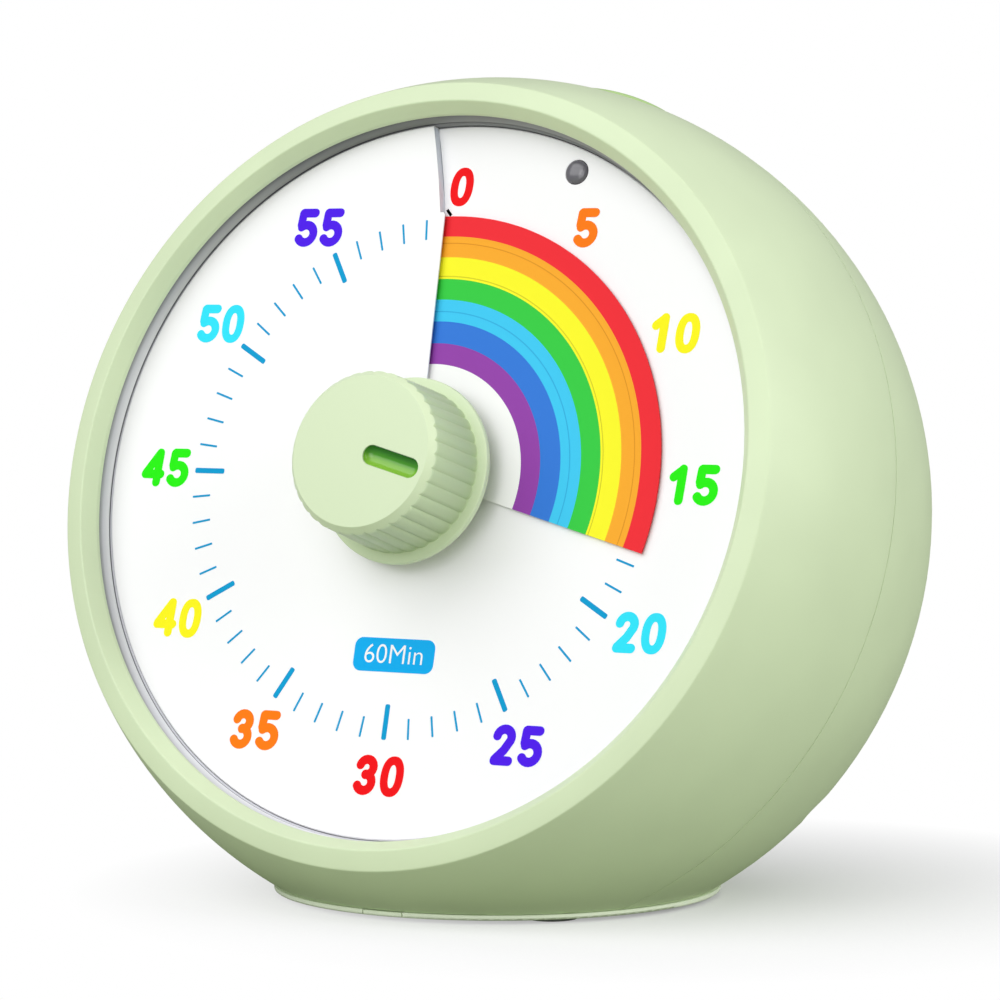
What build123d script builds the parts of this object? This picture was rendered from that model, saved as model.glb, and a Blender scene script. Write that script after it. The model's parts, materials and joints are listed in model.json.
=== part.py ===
from build123d import *
import os
from math import asin, atan, atan2, cos, degrees, hypot, pi, radians, sin, sqrt

# Visual countdown timer. All sizes are in millimetres.
# Frame: +Z is up and the dial looks towards -Y, leaning back. The origin is the middle of the plane that
# the feet stand on. A "level" is a distance along the dial's own axis, measured forwards from the body's
# centre, and an angle "round the dial" runs clockwise from 12 o'clock.

# ---------------------------------------------------------------- driving dimensions

# Dial and ring
LEAN = 15.0  # the face leans back by this many degrees
DIAL_R = 45.1
RING_W = 2.5  # flat ring round the dial
BEVEL_W = 1.3
RING_LEVEL = 24.2  # outer edge of the ring, in front of the body's centre
RING_RISE = 0.7  # the ring rises towards its inner edge
BEVEL_DROP = 1.7
LIP_LAND = 0.6
DIAL_SINK = 4.6  # low end of the dial, behind the ring's outer edge
WALL = 2.0

# Dial ramp and colour disc: both are one turn of the same screw surface
PITCH = 1.3
DIAL_T = 0.4
DIAL_RIM_T = 2.4
DISC_T = 0.25
DISC_R = 33.3
DISC_GAP = 0.275  # between the dial and the disc that lies on it
DISC_SLIT = 4.0  # degrees left out of the disc
DISC_EDGE_CLEARANCE = 0.4
SLIT_ANGLE = -2.8  # of the dial's step and slit
STEP_SLANT = 2.9  # outside the disc the step turns back by this many degrees
SET_MINUTES = 17.5
FULL_MINUTES = 60.0

# Knob
KNOB_R = 10.1  # at its face
KNOB_FOOT_R = 10.45
KNOB_FLANGE_R = 11.7
KNOB_FLANGE_T = 0.9
KNOB_LIFT = 3.65  # underside of the flange over the dial's low end
KNOB_H = 11.35  # underside of the flange to the face
KNOB_CHAMFER = 0.7
KNOB_WALL = 1.8
FLUTES = 36
FLUTE_R = 0.45
FLUTE_DEPTH = 0.22
POINTER_W = 2.5
POINTER_START = 0.5  # from the knob's middle
POINTER_LENGTH = 8.7  # from the knob's middle to the tip
POINTER_DEPTH = 1.1
INLAY_T = 0.35
SLEEVE_R = 5.2
SLEEVE_FLATS = 9.0

# Base and battery compartment: two AAA cells side by side
CELL_D = 10.2
CELL_L = 44.5
CELL_GAP = 0.5  # between the cells, and half of it at each side
CONTACT_ROOM = 1.2  # at each end of a cell
DOOR_LEDGE = 0.6
DOOR_T = 1.0
TAB_W = 5.4
BASE_RIM = 1.95
BASE_EDGE_T = 0.65
BASE_STEP_T = 1.35
BASE_OVERHANG = 0.45  # the base stands proud of the body's cut edge
BOX_WALL = 1.4
FOOT_R = 3.4
FOOT_PROUD = 0.5
FOOT_T = 1.2

# Top button
BUTTON_TILT = 33.6  # from straight up, towards the back
BUTTON_R = 13.0
BUTTON_PROUD = 3.7
BUTTON_TRAVEL = 1.0
BUTTON_FLANGE_W = 1.4

# Volume switch in the back
SWITCH_RISE = 6.5  # above the body's centre
SWITCH_TRAVEL = 2.0  # each way from the middle
SLOT_H = 3.0
THUMB_W = 4.0

# Movement
ARBOR_R = 1.5
PIVOT_R = 0.6
PLATE_T = 1.5
MODULE = 0.3
CENTRE_MODULE = 0.35
CENTRE_TEETH = 64
WHEEL_TEETH = 60
SLOW_PINION = 8
FAST_PINION = 10
ROTOR_PINION = 12
WHEEL_T = 1.0

# Fits
FIT = 0.1  # radial, between parts that are pushed together by hand
RUN = 0.03  # radial, between a shaft and its bearing
FREE = 0.4  # around a moving cap or lever
FACE_GAP = 0.05  # between flat faces of neighbouring parts

# ---------------------------------------------------------------- worked-out sizes

lip_r = DIAL_R + 0.5
ring_in_r = lip_r + BEVEL_W
ring_r = ring_in_r + RING_W
body_r = hypot(ring_r, RING_LEVEL)
inner_r = body_r - WALL
dial_level = RING_LEVEL - DIAL_SINK

cavity_w = 2 * CELL_D + 2 * CELL_GAP
cavity_l = CELL_L + 2 * CONTACT_ROOM
door_w = cavity_w + 2 * DOOR_LEDGE
door_l = cavity_l + 2 * DOOR_LEDGE
base_r = hypot(door_w / 2, door_l / 2) + BASE_RIM
cut_r = base_r - BASE_OVERHANG
base_bottom = FOOT_PROUD
base_edge_top = base_bottom + BASE_EDGE_T
cut_z = base_edge_top + FACE_GAP
centre_z = cut_z + sqrt(body_r**2 - cut_r**2)
base_step_top = base_edge_top + BASE_STEP_T
switch_z = centre_z + SWITCH_RISE

CENTRE = Vector(0, 0, centre_z)
FORWARD = Vector(0, -cos(radians(LEAN)), sin(radians(LEAN)))
face = Plane(origin=CENTRE, x_dir=(1, 0, 0), z_dir=FORWARD)
meridian = Plane(origin=CENTRE, x_dir=(1, 0, 0), z_dir=Vector(1, 0, 0).cross(FORWARD))
face_axis = Axis(CENTRE, FORWARD)
button_axis = Vector(0, sin(radians(BUTTON_TILT)), cos(radians(BUTTON_TILT)))
button_plane = Plane(origin=CENTRE, x_dir=(1, 0, 0), z_dir=button_axis)


def turned(plane, clockwise):
    """The same plane, turned clockwise in itself, so that its y axis points that way round the dial."""
    return Plane(plane.location * Location((0, 0, 0), (0, 0, -clockwise)))


def flipped(plane):
    """The same plane seen from behind: x stays, y and z are reversed."""
    return Plane(plane.location * Location((0, 0, 0), (180, 0, 0)))


def back_plane(y):
    """A plane across the body at y, seen from behind: its y axis is up."""
    return Plane(origin=(0, y, 0), x_dir=(-1, 0, 0), z_dir=(0, 1, 0))


def on_dial(radius, clockwise):
    """A place on the face, from its radius and its angle round the dial."""
    return radius * sin(radians(clockwise)), radius * cos(radians(clockwise))


parts = {}
os.makedirs("parts", exist_ok=True)


def finish(node, part):
    """Names a finished piece and keeps it for writing."""
    part.label = node
    parts[node] = part


# ---------------------------------------------------------------- shared shapes


def ramp_half(profile, start, sweep_degrees, height):
    """Sweeps a radial profile clockwise along the dial's screw line, from `start` degrees round the dial."""
    start_plane = turned(face.offset(height), start - 90)
    screw_line = start_plane.location * Helix(
        pitch=PITCH, height=PITCH * sweep_degrees / 360, radius=DIAL_R / 2, lefthand=True
    )
    across = start_plane.x_dir.cross(start_plane.z_dir)
    radial = Plane(origin=start_plane.origin, x_dir=start_plane.x_dir, z_dir=across)
    section = radial * Polygon(*profile, align=None)
    return sweep(section, path=screw_line, is_frenet=True)


def ramp(profile, start, sweep_degrees, height):
    """A whole turn of the ramp, made as two halves that meet face to face."""
    half = sweep_degrees / 2
    first = ramp_half(profile, start, half, height)
    second = ramp_half(profile, start + half, half, height + PITCH * half / 360)
    return first + second


def gear_outline(teeth, module):
    """Corner points of a wheel's straight-flanked teeth, with the first tooth on +X."""
    pitch_r = teeth * module / 2
    tip_r = pitch_r + 0.75 * module
    root_r = pitch_r - 1.15 * module
    step = 2 * pi / teeth
    outline = []
    for tooth in range(teeth):
        middle = tooth * step
        for radius, share in ((root_r, -0.29), (tip_r, -0.12), (tip_r, 0.12), (root_r, 0.29)):
            angle = middle + share * step
            outline.append((radius * cos(angle), radius * sin(angle)))
    return outline


def add_gear(place, teeth, module, low, high, turn):
    """Adds a toothed disc at a place on the face, between two levels, to the part being built."""
    with BuildSketch(face.offset(low)) as outline:
        with Locations(Location((place[0], place[1], 0), (0, 0, turn))):
            Polygon(*gear_outline(teeth, module), align=None)
    extrude(outline.sketch, amount=high - low)


def add_rod(place, radius, low, high, mode=Mode.ADD):
    """Adds or cuts a round rod along the dial's axis."""
    with BuildSketch(face.offset(low)) as section:
        with Locations(place):
            Circle(radius)
    extrude(section.sketch, amount=high - low, mode=mode)


def screw_set(plane, places, shank_r, shank_length, head_r, head_h):
    """Pan-head screws: the heads stand on the plane and the shanks go down through it."""
    with BuildPart() as screws:
        with BuildSketch(plane):
            with Locations(*places):
                Circle(head_r)
        extrude(amount=head_h)
        head_edges = screws.edges().filter_by(GeomType.CIRCLE).group_by(Axis(plane.origin, plane.z_dir))
        fillet(head_edges[-1], head_h * 0.35)
        with BuildSketch(plane):
            with Locations(*places):
                Circle(shank_r)
        extrude(amount=-shank_length)
        with BuildSketch(plane.offset(head_h)):
            with Locations(*places):
                Rectangle(head_r * 1.1, head_r * 0.28)
                Rectangle(head_r * 0.28, head_r * 1.1)
        extrude(amount=-head_h * 0.6, mode=Mode.SUBTRACT)
    return screws.part


def coil_spring(plane, places, radius, wire_r, turns, length):
    """Wire springs that stand on the plane."""
    with BuildPart() as springs:
        for x, y in places:
            foot = plane.offset(wire_r).shift_origin(plane.offset(wire_r).from_local_coords((x, y, 0)))
            rise = length - 2 * wire_r
            helix = foot.location * Helix(pitch=rise / turns, height=rise, radius=radius)
            with BuildSketch(Plane(origin=helix @ 0, z_dir=helix % 0)):
                Circle(wire_r)
            sweep(path=helix, is_frenet=True)
    return springs.part


# ---------------------------------------------------------------- sizes shared by several pieces

BODY_SCREW_R = 1.3
BODY_SCREW_LENGTH = 15.0
BODY_HEAD_R = 2.4
BODY_HEAD_H = 1.6
FRONT_BOSS_R = 3.0
REAR_BOSS_R = 4.2
BODY_SEAT_LEVEL = -8.0
BODY_BOSS_TOP = 9.0
BODY_BOSS_INSET = 4.0
TONGUE = 2.0
TONGUE_T = 1.2
body_screw_places = [on_dial(inner_r - BODY_BOSS_INSET, angle) for angle in (50, 130, 230, 310)]

CHASSIS_T = 1.6
CHASSIS_GAP = 5.2  # front of the chassis plate's back face to the dial's low end
CHASSIS_SCREW_R = 1.0
CHASSIS_BOSS_R = 2.2
chassis_back = dial_level - CHASSIS_GAP
chassis_front = chassis_back + CHASSIS_T
lip_under = RING_LEVEL + RING_RISE - BEVEL_DROP - LIP_LAND
surround_r = lip_r + 1.0
chassis_boss_place_r = surround_r + CHASSIS_BOSS_R + FACE_GAP
chassis_screw_places = [on_dial(chassis_boss_place_r, angle) for angle in (45, 135, 225, 315)]

LED_R = 1.5
LED_FLANGE_R = 1.9
led_place = on_dial(DIAL_R - 2.9, 22.8)

box_w = cavity_w + 2 * BOX_WALL
box_l = cavity_l + 2 * BOX_WALL
door_top = base_bottom + DOOR_T
cell_z = door_top + 0.3 + CELL_D / 2
cavity_top = cell_z + CELL_D / 2 + 0.2
box_top = cavity_top + 1.2
mouth_r = sqrt(inner_r**2 - (centre_z - cut_z) ** 2)
BASE_SCREW_R = 1.1
BASE_HEAD_R = 2.1
BASE_BOSS_R = 2.6
base_screw_x = box_w / 2 + BASE_BOSS_R + 3.6
base_head_seat = base_bottom + 1.2
foot_x = door_w / 2 + FOOT_R + 2.2
foot_y = sqrt((base_r - FOOT_R - 1.6) ** 2 - foot_x**2)
base_screw_rows = (12.4 - foot_y, foot_y - 8.4)  # clear of the feet
base_screw_places = [(side * base_screw_x, y) for side in (-1, 1) for y in base_screw_rows]

button_in_r = BUTTON_R + FREE
button_flange_r = button_in_r + BUTTON_FLANGE_W - 0.3
COLLAR_T = 1.4
BUTTON_FLANGE_T = 1.2
collar_foot = inner_r - 3.2  # along the button's axis, from the body's centre
button_flange_top = collar_foot - FACE_GAP
button_flange_foot = button_flange_top - BUTTON_FLANGE_T
BUTTON_ROOM = 8.0  # flange to the button's board
board_t = 1.6
button_board_top = button_flange_foot - BUTTON_ROOM
BUTTON_BOSS_X = 18.0
BOARD_SCREW_R = 0.9

BOARD_W = 32.0
BOARD_H = 28.0
board_back = inner_r - 7.0
board_front = board_back - board_t
board_z = centre_z - 1.5
board_screw_places = [(x, board_z + y) for x in (-12.5, 12.5) for y in (-11.0, 11.0)]
BOARD_BOSS_R = 2.0
PAD_W = 2 * (SWITCH_TRAVEL + THUMB_W) + 4.0
PAD_H = SLOT_H + 5.0
pocket_floor = body_r - 2.9
PAD_T = 1.6
BUZZER_R = 6.0
BUZZER_H = 3.2
buzzer_z = board_z - 6.0
GRILLE_R = 0.8
GRILLE_PITCH = 2.6

inside = Pos(*CENTRE) * Sphere(inner_r + WALL / 2)


def add_inside(sketch, amount):
    """Extrudes a sketch and adds the stretch that ends within the shell's wall."""
    add(extrude(sketch, amount=amount, mode=Mode.PRIVATE) & inside)


def cut_base_room():
    """Cuts the room that the base's step and the battery box need, and the flat cut that the base closes."""
    with BuildSketch(Plane.XY) as step_room:
        Circle(mouth_r)
    extrude(step_room.sketch, amount=base_step_top + FACE_GAP, mode=Mode.SUBTRACT)
    with BuildSketch(Plane.XY) as box_room:
        RectangleRounded(box_w + 4 * FIT, box_l + 4 * FIT, 2.0)
    extrude(box_room.sketch, amount=box_top + FREE, mode=Mode.SUBTRACT)
    split(bisect_by=Plane.XY.offset(cut_z), keep=Keep.TOP)


# ---------------------------------------------------------------- body shells

with BuildPart() as front_shell:
    with BuildSketch(meridian):
        with BuildLine():
            outer = CenterArc((0, 0), body_r, 0, degrees(asin(RING_LEVEL / body_r)))
            Polyline(
                outer @ 1,
                (ring_in_r, RING_LEVEL + RING_RISE),
                (lip_r, RING_LEVEL + RING_RISE - BEVEL_DROP),
                (lip_r, lip_under),
                (sqrt(inner_r**2 - lip_under**2), lip_under),
            )
            inner = CenterArc((0, 0), inner_r, 0, degrees(asin(lip_under / inner_r)))
            Line(inner @ 0, outer @ 0)
        make_face()
    revolve(axis=face_axis)
    circles = front_shell.edges().filter_by(GeomType.CIRCLE)
    fillet(circles.filter_by(lambda edge: abs(edge.radius - ring_r) < 0.01), 0.5)
    for x, y in body_screw_places:
        with BuildSketch(face.offset(FACE_GAP), mode=Mode.PRIVATE) as boss:
            with Locations((x, y)):
                Circle(FRONT_BOSS_R)
            with Locations(Location((x, y, 0), (0, 0, degrees(atan2(y, x))))):
                Rectangle(BODY_BOSS_INSET + WALL / 2, 1.6, align=(Align.MIN, Align.CENTER))
        add_inside(boss.sketch, BODY_BOSS_TOP)
    for x, y in chassis_screw_places:
        with BuildSketch(face.offset(chassis_front + FACE_GAP), mode=Mode.PRIVATE) as boss:
            with Locations((x, y)):
                Circle(CHASSIS_BOSS_R)
        add_inside(boss.sketch, lip_under - chassis_front)
    # rebate for the rear shell's tongue, also through the bosses' ribs
    with BuildSketch(face):
        Circle(inner_r + FIT * 2)
        Circle(inner_r - TONGUE_T - FIT * 2, mode=Mode.SUBTRACT)
    extrude(amount=TONGUE + FIT * 2, mode=Mode.SUBTRACT)
    with BuildSketch(face):
        with Locations(*body_screw_places):
            Circle(BODY_SCREW_R + RUN)
    extrude(amount=BODY_BOSS_TOP - 0.8, mode=Mode.SUBTRACT)
    with BuildSketch(face.offset(chassis_front)):
        with Locations(*chassis_screw_places):
            Circle(CHASSIS_SCREW_R + RUN)
    extrude(amount=lip_under - chassis_front, mode=Mode.SUBTRACT)
    cut_base_room()
finish("front_shell", front_shell.part)

with BuildPart() as rear_shell:
    with BuildSketch(meridian):
        with BuildLine():
            outer = CenterArc((0, 0), body_r, -90, 90)
            inner = CenterArc((0, 0), inner_r, -90, 90)
            Line(outer @ 0, inner @ 0)
            Line(outer @ 1, inner @ 1)
        make_face()
    revolve(axis=face_axis)
    with BuildSketch(meridian):  # tongue that centres the front shell
        with BuildLine():
            Polyline(
                (inner_r - TONGUE_T, -3),
                (inner_r + WALL / 4, -3),
                (inner_r + WALL / 4, 0),
                (inner_r + FIT, 0),
                (inner_r + FIT, TONGUE),
                (inner_r - TONGUE_T, TONGUE),
                close=True,
            )
        make_face()
    revolve(axis=face_axis)
    for x, y in body_screw_places:
        with BuildSketch(face, mode=Mode.PRIVATE) as boss:
            with Locations((x, y)):
                Circle(REAR_BOSS_R)
            Circle(inner_r + FIT, mode=Mode.INTERSECT)
        add_inside(boss.sketch, -body_r)
    for x, y in base_screw_places:
        with BuildSketch(Plane.XY.offset(base_step_top + FACE_GAP), mode=Mode.PRIVATE) as boss:
            with Locations((x, y)):
                Circle(BASE_BOSS_R)
            with Locations(Location((x, y, 0), (0, 0, degrees(atan2(y, x))))):
                Rectangle(body_r, 1.4, align=(Align.MIN, Align.CENTER))
        add_inside(boss.sketch, 7.5)
    # collar that guides the top button, and the bosses that carry its board
    with BuildSketch(button_plane.offset(collar_foot), mode=Mode.PRIVATE) as collar:
        Circle(button_in_r + COLLAR_T)
    add_inside(collar.sketch, body_r)
    with BuildSketch(button_plane.offset(button_board_top + FACE_GAP), mode=Mode.PRIVATE) as boss:
        with Locations((-BUTTON_BOSS_X, 0), (BUTTON_BOSS_X, 0)):
            Circle(BOARD_BOSS_R)
    add_inside(boss.sketch, body_r)
    with BuildSketch(button_plane.offset(collar_foot - BUTTON_ROOM)):
        Circle(button_in_r)
    extrude(amount=body_r, mode=Mode.SUBTRACT)
    # pad with a pocket and a slot for the volume switch
    with BuildSketch(back_plane(pocket_floor - PAD_T), mode=Mode.PRIVATE) as pad:
        with Locations((0, switch_z)):
            RectangleRounded(PAD_W + 3, PAD_H + 3, 2.5)
    add_inside(pad.sketch, body_r)
    with BuildSketch(back_plane(pocket_floor)):
        with Locations((0, switch_z)):
            RectangleRounded(PAD_W, PAD_H, 1.5)
    extrude(amount=body_r, mode=Mode.SUBTRACT)
    with BuildSketch(back_plane(board_back)):
        with Locations((0, switch_z)):
            SlotOverall(2 * SWITCH_TRAVEL + THUMB_W + 2 * FREE, SLOT_H)
    extrude(amount=body_r, mode=Mode.SUBTRACT)
    # bosses for the main board, and the sound holes
    with BuildSketch(back_plane(board_back + FACE_GAP), mode=Mode.PRIVATE) as boss:
        with Locations(*board_screw_places):
            Circle(BOARD_BOSS_R)
    add_inside(boss.sketch, body_r)
    with BuildSketch(back_plane(board_back)):
        with Locations(*board_screw_places):
            Circle(BOARD_SCREW_R + RUN)
    extrude(amount=4.5, mode=Mode.SUBTRACT)
    with BuildSketch(back_plane(board_back)):
        with Locations((0, buzzer_z)):
            with PolarLocations(GRILLE_PITCH, 6):
                Circle(GRILLE_R)
            Circle(GRILLE_R)
    extrude(amount=body_r, mode=Mode.SUBTRACT)
    # screw holes: body screws from behind, base screws from below, button board screws from inside
    with BuildSketch(face.offset(BODY_SEAT_LEVEL)):
        with Locations(*body_screw_places):
            Circle(BODY_HEAD_R + FREE)
    extrude(amount=-body_r, mode=Mode.SUBTRACT)
    with BuildSketch(face.offset(BODY_SEAT_LEVEL)):
        with Locations(*body_screw_places):
            Circle(BODY_SCREW_R + FIT)
    extrude(amount=body_r, mode=Mode.SUBTRACT)
    with BuildSketch(Plane.XY):
        with Locations(*base_screw_places):
            Circle(BASE_SCREW_R + RUN)
    extrude(amount=base_step_top + 6.5, mode=Mode.SUBTRACT)
    with BuildSketch(button_plane.offset(button_board_top)):
        with Locations((-BUTTON_BOSS_X, 0), (BUTTON_BOSS_X, 0)):
            Circle(BOARD_SCREW_R + RUN)
    extrude(amount=5.0, mode=Mode.SUBTRACT)
    cut_base_room()
finish("rear_shell", rear_shell.part)

body_screws = screw_set(
    flipped(face.offset(BODY_SEAT_LEVEL)),
    [(x, -y) for x, y in body_screw_places],
    BODY_SCREW_R,
    BODY_SCREW_LENGTH,
    BODY_HEAD_R,
    BODY_HEAD_H,
)
finish("body_screws", body_screws)

# ---------------------------------------------------------------- base and batteries

HINGE_PIN_R = 0.6
HINGE_INSET = 1.2
hinge_y = door_l / 2 - HINGE_INSET
hinge_z = base_bottom + 0.95
HINGE_ROOM_R = 1.55
DOOR_GAP = 0.15
FOOT_RECESS = FOOT_T - FOOT_PROUD

with BuildPart() as base_plate:
    with BuildSketch(Plane.XY.offset(base_bottom)):
        Circle(base_r)
    extrude(amount=BASE_EDGE_T)
    fillet(base_plate.edges().group_by(Axis.Z)[0], 0.3)
    with BuildSketch(Plane.XY.offset(base_bottom)):
        Circle(mouth_r - FIT * 2)
    extrude(amount=base_step_top - base_bottom)
    with BuildSketch(Plane.XY.offset(base_bottom)):
        RectangleRounded(box_w, box_l, 2.0)
    extrude(amount=box_top - base_bottom)
    fillet(base_plate.edges().filter_by(Plane.XY).group_by(Axis.Z)[-1], 1.0)
    with BuildSketch(Plane.XY.offset(base_bottom)):
        RectangleRounded(cavity_w, cavity_l, 1.0)
    extrude(amount=cavity_top - base_bottom, mode=Mode.SUBTRACT)
    with BuildSketch(Plane.XY):
        RectangleRounded(door_w + 2 * DOOR_GAP, door_l + 2 * DOOR_GAP, 1.0)
    extrude(amount=door_top + FACE_GAP, mode=Mode.SUBTRACT)
    with BuildSketch(Plane.XY):
        Rectangle(TAB_W + 2 * DOOR_GAP, base_r + 1, align=(Align.CENTER, Align.MAX))
    extrude(amount=base_edge_top, mode=Mode.SUBTRACT)
    # room and sockets for the door's hinge
    with BuildSketch(Plane.YZ):
        with Locations((hinge_y, hinge_z)):
            Circle(HINGE_ROOM_R)
    extrude(amount=door_w / 2 + DOOR_GAP, both=True, mode=Mode.SUBTRACT)
    with BuildSketch(Plane.YZ):
        with Locations((hinge_y, hinge_z)):
            Circle(HINGE_PIN_R + FACE_GAP)
    extrude(amount=box_w / 2 - 0.2, both=True, mode=Mode.SUBTRACT)
    # feet recesses and screw holes
    with BuildSketch(Plane.XY.offset(base_bottom)):
        with GridLocations(2 * foot_x, 2 * foot_y, 2, 2):
            Circle(FOOT_R + FACE_GAP)
    extrude(amount=FOOT_RECESS, mode=Mode.SUBTRACT)
    with BuildSketch(Plane.XY):
        with Locations(*base_screw_places):
            Circle(BASE_SCREW_R + FIT)
    extrude(amount=box_top, mode=Mode.SUBTRACT)
    with BuildSketch(Plane.XY):
        with Locations(*base_screw_places):
            Circle(BASE_HEAD_R + FIT)
    extrude(amount=base_head_seat, mode=Mode.SUBTRACT)
finish("base_plate", base_plate.part)

with BuildPart() as battery_door:
    with BuildSketch(Plane.XY.offset(base_bottom)):
        RectangleRounded(door_w, door_l, 0.9)
    extrude(amount=DOOR_T)
    hinge_edge = battery_door.edges().filter_by(Axis.X).group_by(Axis.Y)[-1]
    fillet(hinge_edge, DOOR_T * 0.45)
    with BuildSketch(Plane.XY.offset(base_bottom)) as tab:
        Rectangle(TAB_W, base_r + 1, align=(Align.CENTER, Align.MAX))
        Circle(base_r, mode=Mode.INTERSECT)
    extrude(amount=BASE_EDGE_T - FACE_GAP)
    round_edges = battery_door.edges().filter_by(GeomType.CIRCLE)
    rim = round_edges.filter_by(lambda edge: abs(edge.radius - base_r) < 0.01)
    fillet(rim.group_by(Axis.Z)[0], 0.3)
    with BuildSketch(Plane.YZ):
        with Locations((hinge_y, hinge_z)):
            Circle(HINGE_PIN_R)
    extrude(amount=box_w / 2 - 0.3, both=True)
    # finger grooves across the latch end, and ribs inside
    with BuildSketch(Plane.XY.offset(base_bottom)):
        with Locations((0, -door_l / 2 + 6)):
            with GridLocations(0, 1.6, 1, 4):
                SlotOverall(9.0, 0.7)
    extrude(amount=0.3, mode=Mode.SUBTRACT)
finish("battery_door", battery_door.part)

with BuildPart() as rubber_feet:
    with BuildSketch(Plane.XY):
        with GridLocations(2 * foot_x, 2 * foot_y, 2, 2):
            Circle(FOOT_R)
    extrude(amount=FOOT_T - FACE_GAP)
    fillet(rubber_feet.edges().group_by(Axis.Z)[0], 0.25)
finish("rubber_feet", rubber_feet.part)

base_screws = screw_set(
    Plane(origin=(0, 0, base_head_seat), z_dir=(0, 0, -1), x_dir=(1, 0, 0)),
    [(x, -y) for x, y in base_screw_places],
    BASE_SCREW_R,
    6.5,
    BASE_HEAD_R,
    1.0,
)
finish("base_screws", base_screws)

CELL_NUB_R = 1.9
CELL_NUB_L = 0.8
SPRING_R = 2.6
SPRING_WIRE_R = 0.25
CONTACT_T = 0.3
cell_x = CELL_D / 2 + CELL_GAP / 2
cells = [(-cell_x, 1), (cell_x, -1)]  # place across, and the end that the nub points to

with BuildPart() as battery_cells:
    for x, nub_end in cells:
        with BuildSketch(Plane(origin=(x, -nub_end * CELL_L / 2, cell_z), z_dir=(0, nub_end, 0))):
            Circle(CELL_D / 2)
        extrude(amount=CELL_L - CELL_NUB_L)
    fillet(battery_cells.edges().filter_by(GeomType.CIRCLE), 0.5)
    for x, nub_end in cells:
        nub_foot = (x, nub_end * (CELL_L / 2 - CELL_NUB_L), cell_z)
        with BuildSketch(Plane(origin=nub_foot, z_dir=(0, nub_end, 0))):
            Circle(CELL_NUB_R)
        extrude(amount=CELL_NUB_L)
finish("battery_cells", battery_cells.part)

with BuildPart() as battery_contacts:
    for y_side in (-1, 1):
        plate_y = y_side * (cavity_l / 2 - CONTACT_T / 2 - FACE_GAP)
        with Locations((-cell_x, plate_y, cell_z), (cell_x, plate_y, cell_z)):
            Box(7.0, CONTACT_T, 7.5)
    # one strip joins the two cells in series at the back
    with Locations((0, cavity_l / 2 - CONTACT_T / 2 - FACE_GAP, cell_z + 2.0)):
        Box(2 * cell_x, CONTACT_T, 2.0)
    for x, nub_end in cells:  # dimple that meets the nub
        dimple_y = nub_end * (cavity_l / 2 - CONTACT_T - FACE_GAP)
        with BuildSketch(Plane(origin=(x, dimple_y, cell_z), z_dir=(0, -nub_end, 0))):
            Circle(CELL_NUB_R)
        extrude(amount=CONTACT_ROOM - CONTACT_T - 2 * FACE_GAP)
finish("battery_contacts", battery_contacts.part)

spring_room = CONTACT_ROOM - CONTACT_T - 2 * FACE_GAP
with BuildPart() as battery_springs:
    for x, nub_end in cells:
        wall_y = -nub_end * (cavity_l / 2 - CONTACT_T - FACE_GAP)
        spring_plane = Plane(origin=(x, wall_y, cell_z), z_dir=(0, nub_end, 0), x_dir=(1, 0, 0))
        add(coil_spring(spring_plane, [(0, 0)], SPRING_R, SPRING_WIRE_R, 1.0, spring_room))
finish("battery_springs", battery_springs.part)

# ---------------------------------------------------------------- dial, disc and their frame

DIAL_LEDGE_W = 0.7
MOVEMENT_SCREW_R = 0.9
MOVEMENT_W = 46.0
MOVEMENT_H = 43.0
MOVEMENT_MIDDLE = (0.0, 4.5)
movement_screw_places = [(-20.2, -14.2), (20.2, -14.2), (-20.2, 23.2), (20.2, 23.2)]
movement_front = chassis_back - FACE_GAP
movement_back = movement_front - PLATE_T
BUSH_R = 3.0
BUSH_FLANGE_R = 4.2
BUSH_FLANGE_T = 0.8
LED_BOARD_W = 12.0
LED_BOARD_H = 8.0
led_board_front = chassis_back - 1.9
led_board_screw = (led_place[0] - 4.0, led_place[1] - 0.5)

with BuildPart() as chassis_plate:
    with BuildSketch(face.offset(chassis_back)):
        Circle(ring_r + 0.6)
    extrude(amount=CHASSIS_T)
    with BuildSketch(face.offset(chassis_front)):  # ledge that the dial's rim rests on
        Circle(DIAL_R - FIT)
        Circle(DIAL_R - FIT - DIAL_LEDGE_W, mode=Mode.SUBTRACT)
    extrude(amount=dial_level - DIAL_RIM_T - chassis_front - FACE_GAP)
    with BuildSketch(face.offset(chassis_back)):  # boss behind, for the small board of the light
        with Locations(led_board_screw):
            Circle(1.9)
    extrude(amount=led_board_front + FACE_GAP - chassis_back)
    with BuildSketch(face.offset(led_board_front)):
        with Locations(led_board_screw):
            Circle(BOARD_SCREW_R + RUN)
        with Locations(led_place):
            Circle(LED_R + 2 * FIT)
        with Locations((0, 0)):
            Circle(BUSH_R + RUN)
        with Locations(*movement_screw_places):
            Circle(MOVEMENT_SCREW_R + RUN)
        with Locations(*chassis_screw_places):
            Circle(CHASSIS_SCREW_R + FIT)
        with Locations((30, -14), (-30, -14), (-30, 20), (27, 24)):  # lightening holes, also for the wires
            Circle(4.5)
    extrude(amount=dial_level - led_board_front, mode=Mode.SUBTRACT)
    # clear of the battery box and the base's step
    with BuildSketch(Plane.XY):
        RectangleRounded(box_w + 4 * FREE, box_l + 8 * FREE, 2.0)
    extrude(amount=box_top + 2 * FREE, mode=Mode.SUBTRACT)
    with BuildSketch(Plane.XY):
        Circle(base_r)
    extrude(amount=base_step_top + FREE, mode=Mode.SUBTRACT)
finish("chassis_plate", chassis_plate.part)

chassis_screws = screw_set(
    flipped(face.offset(chassis_back)),
    [(x, -y) for x, y in chassis_screw_places],
    CHASSIS_SCREW_R,
    6.0,
    1.9,
    1.2,
)
finish("chassis_screws", chassis_screws)

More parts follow.
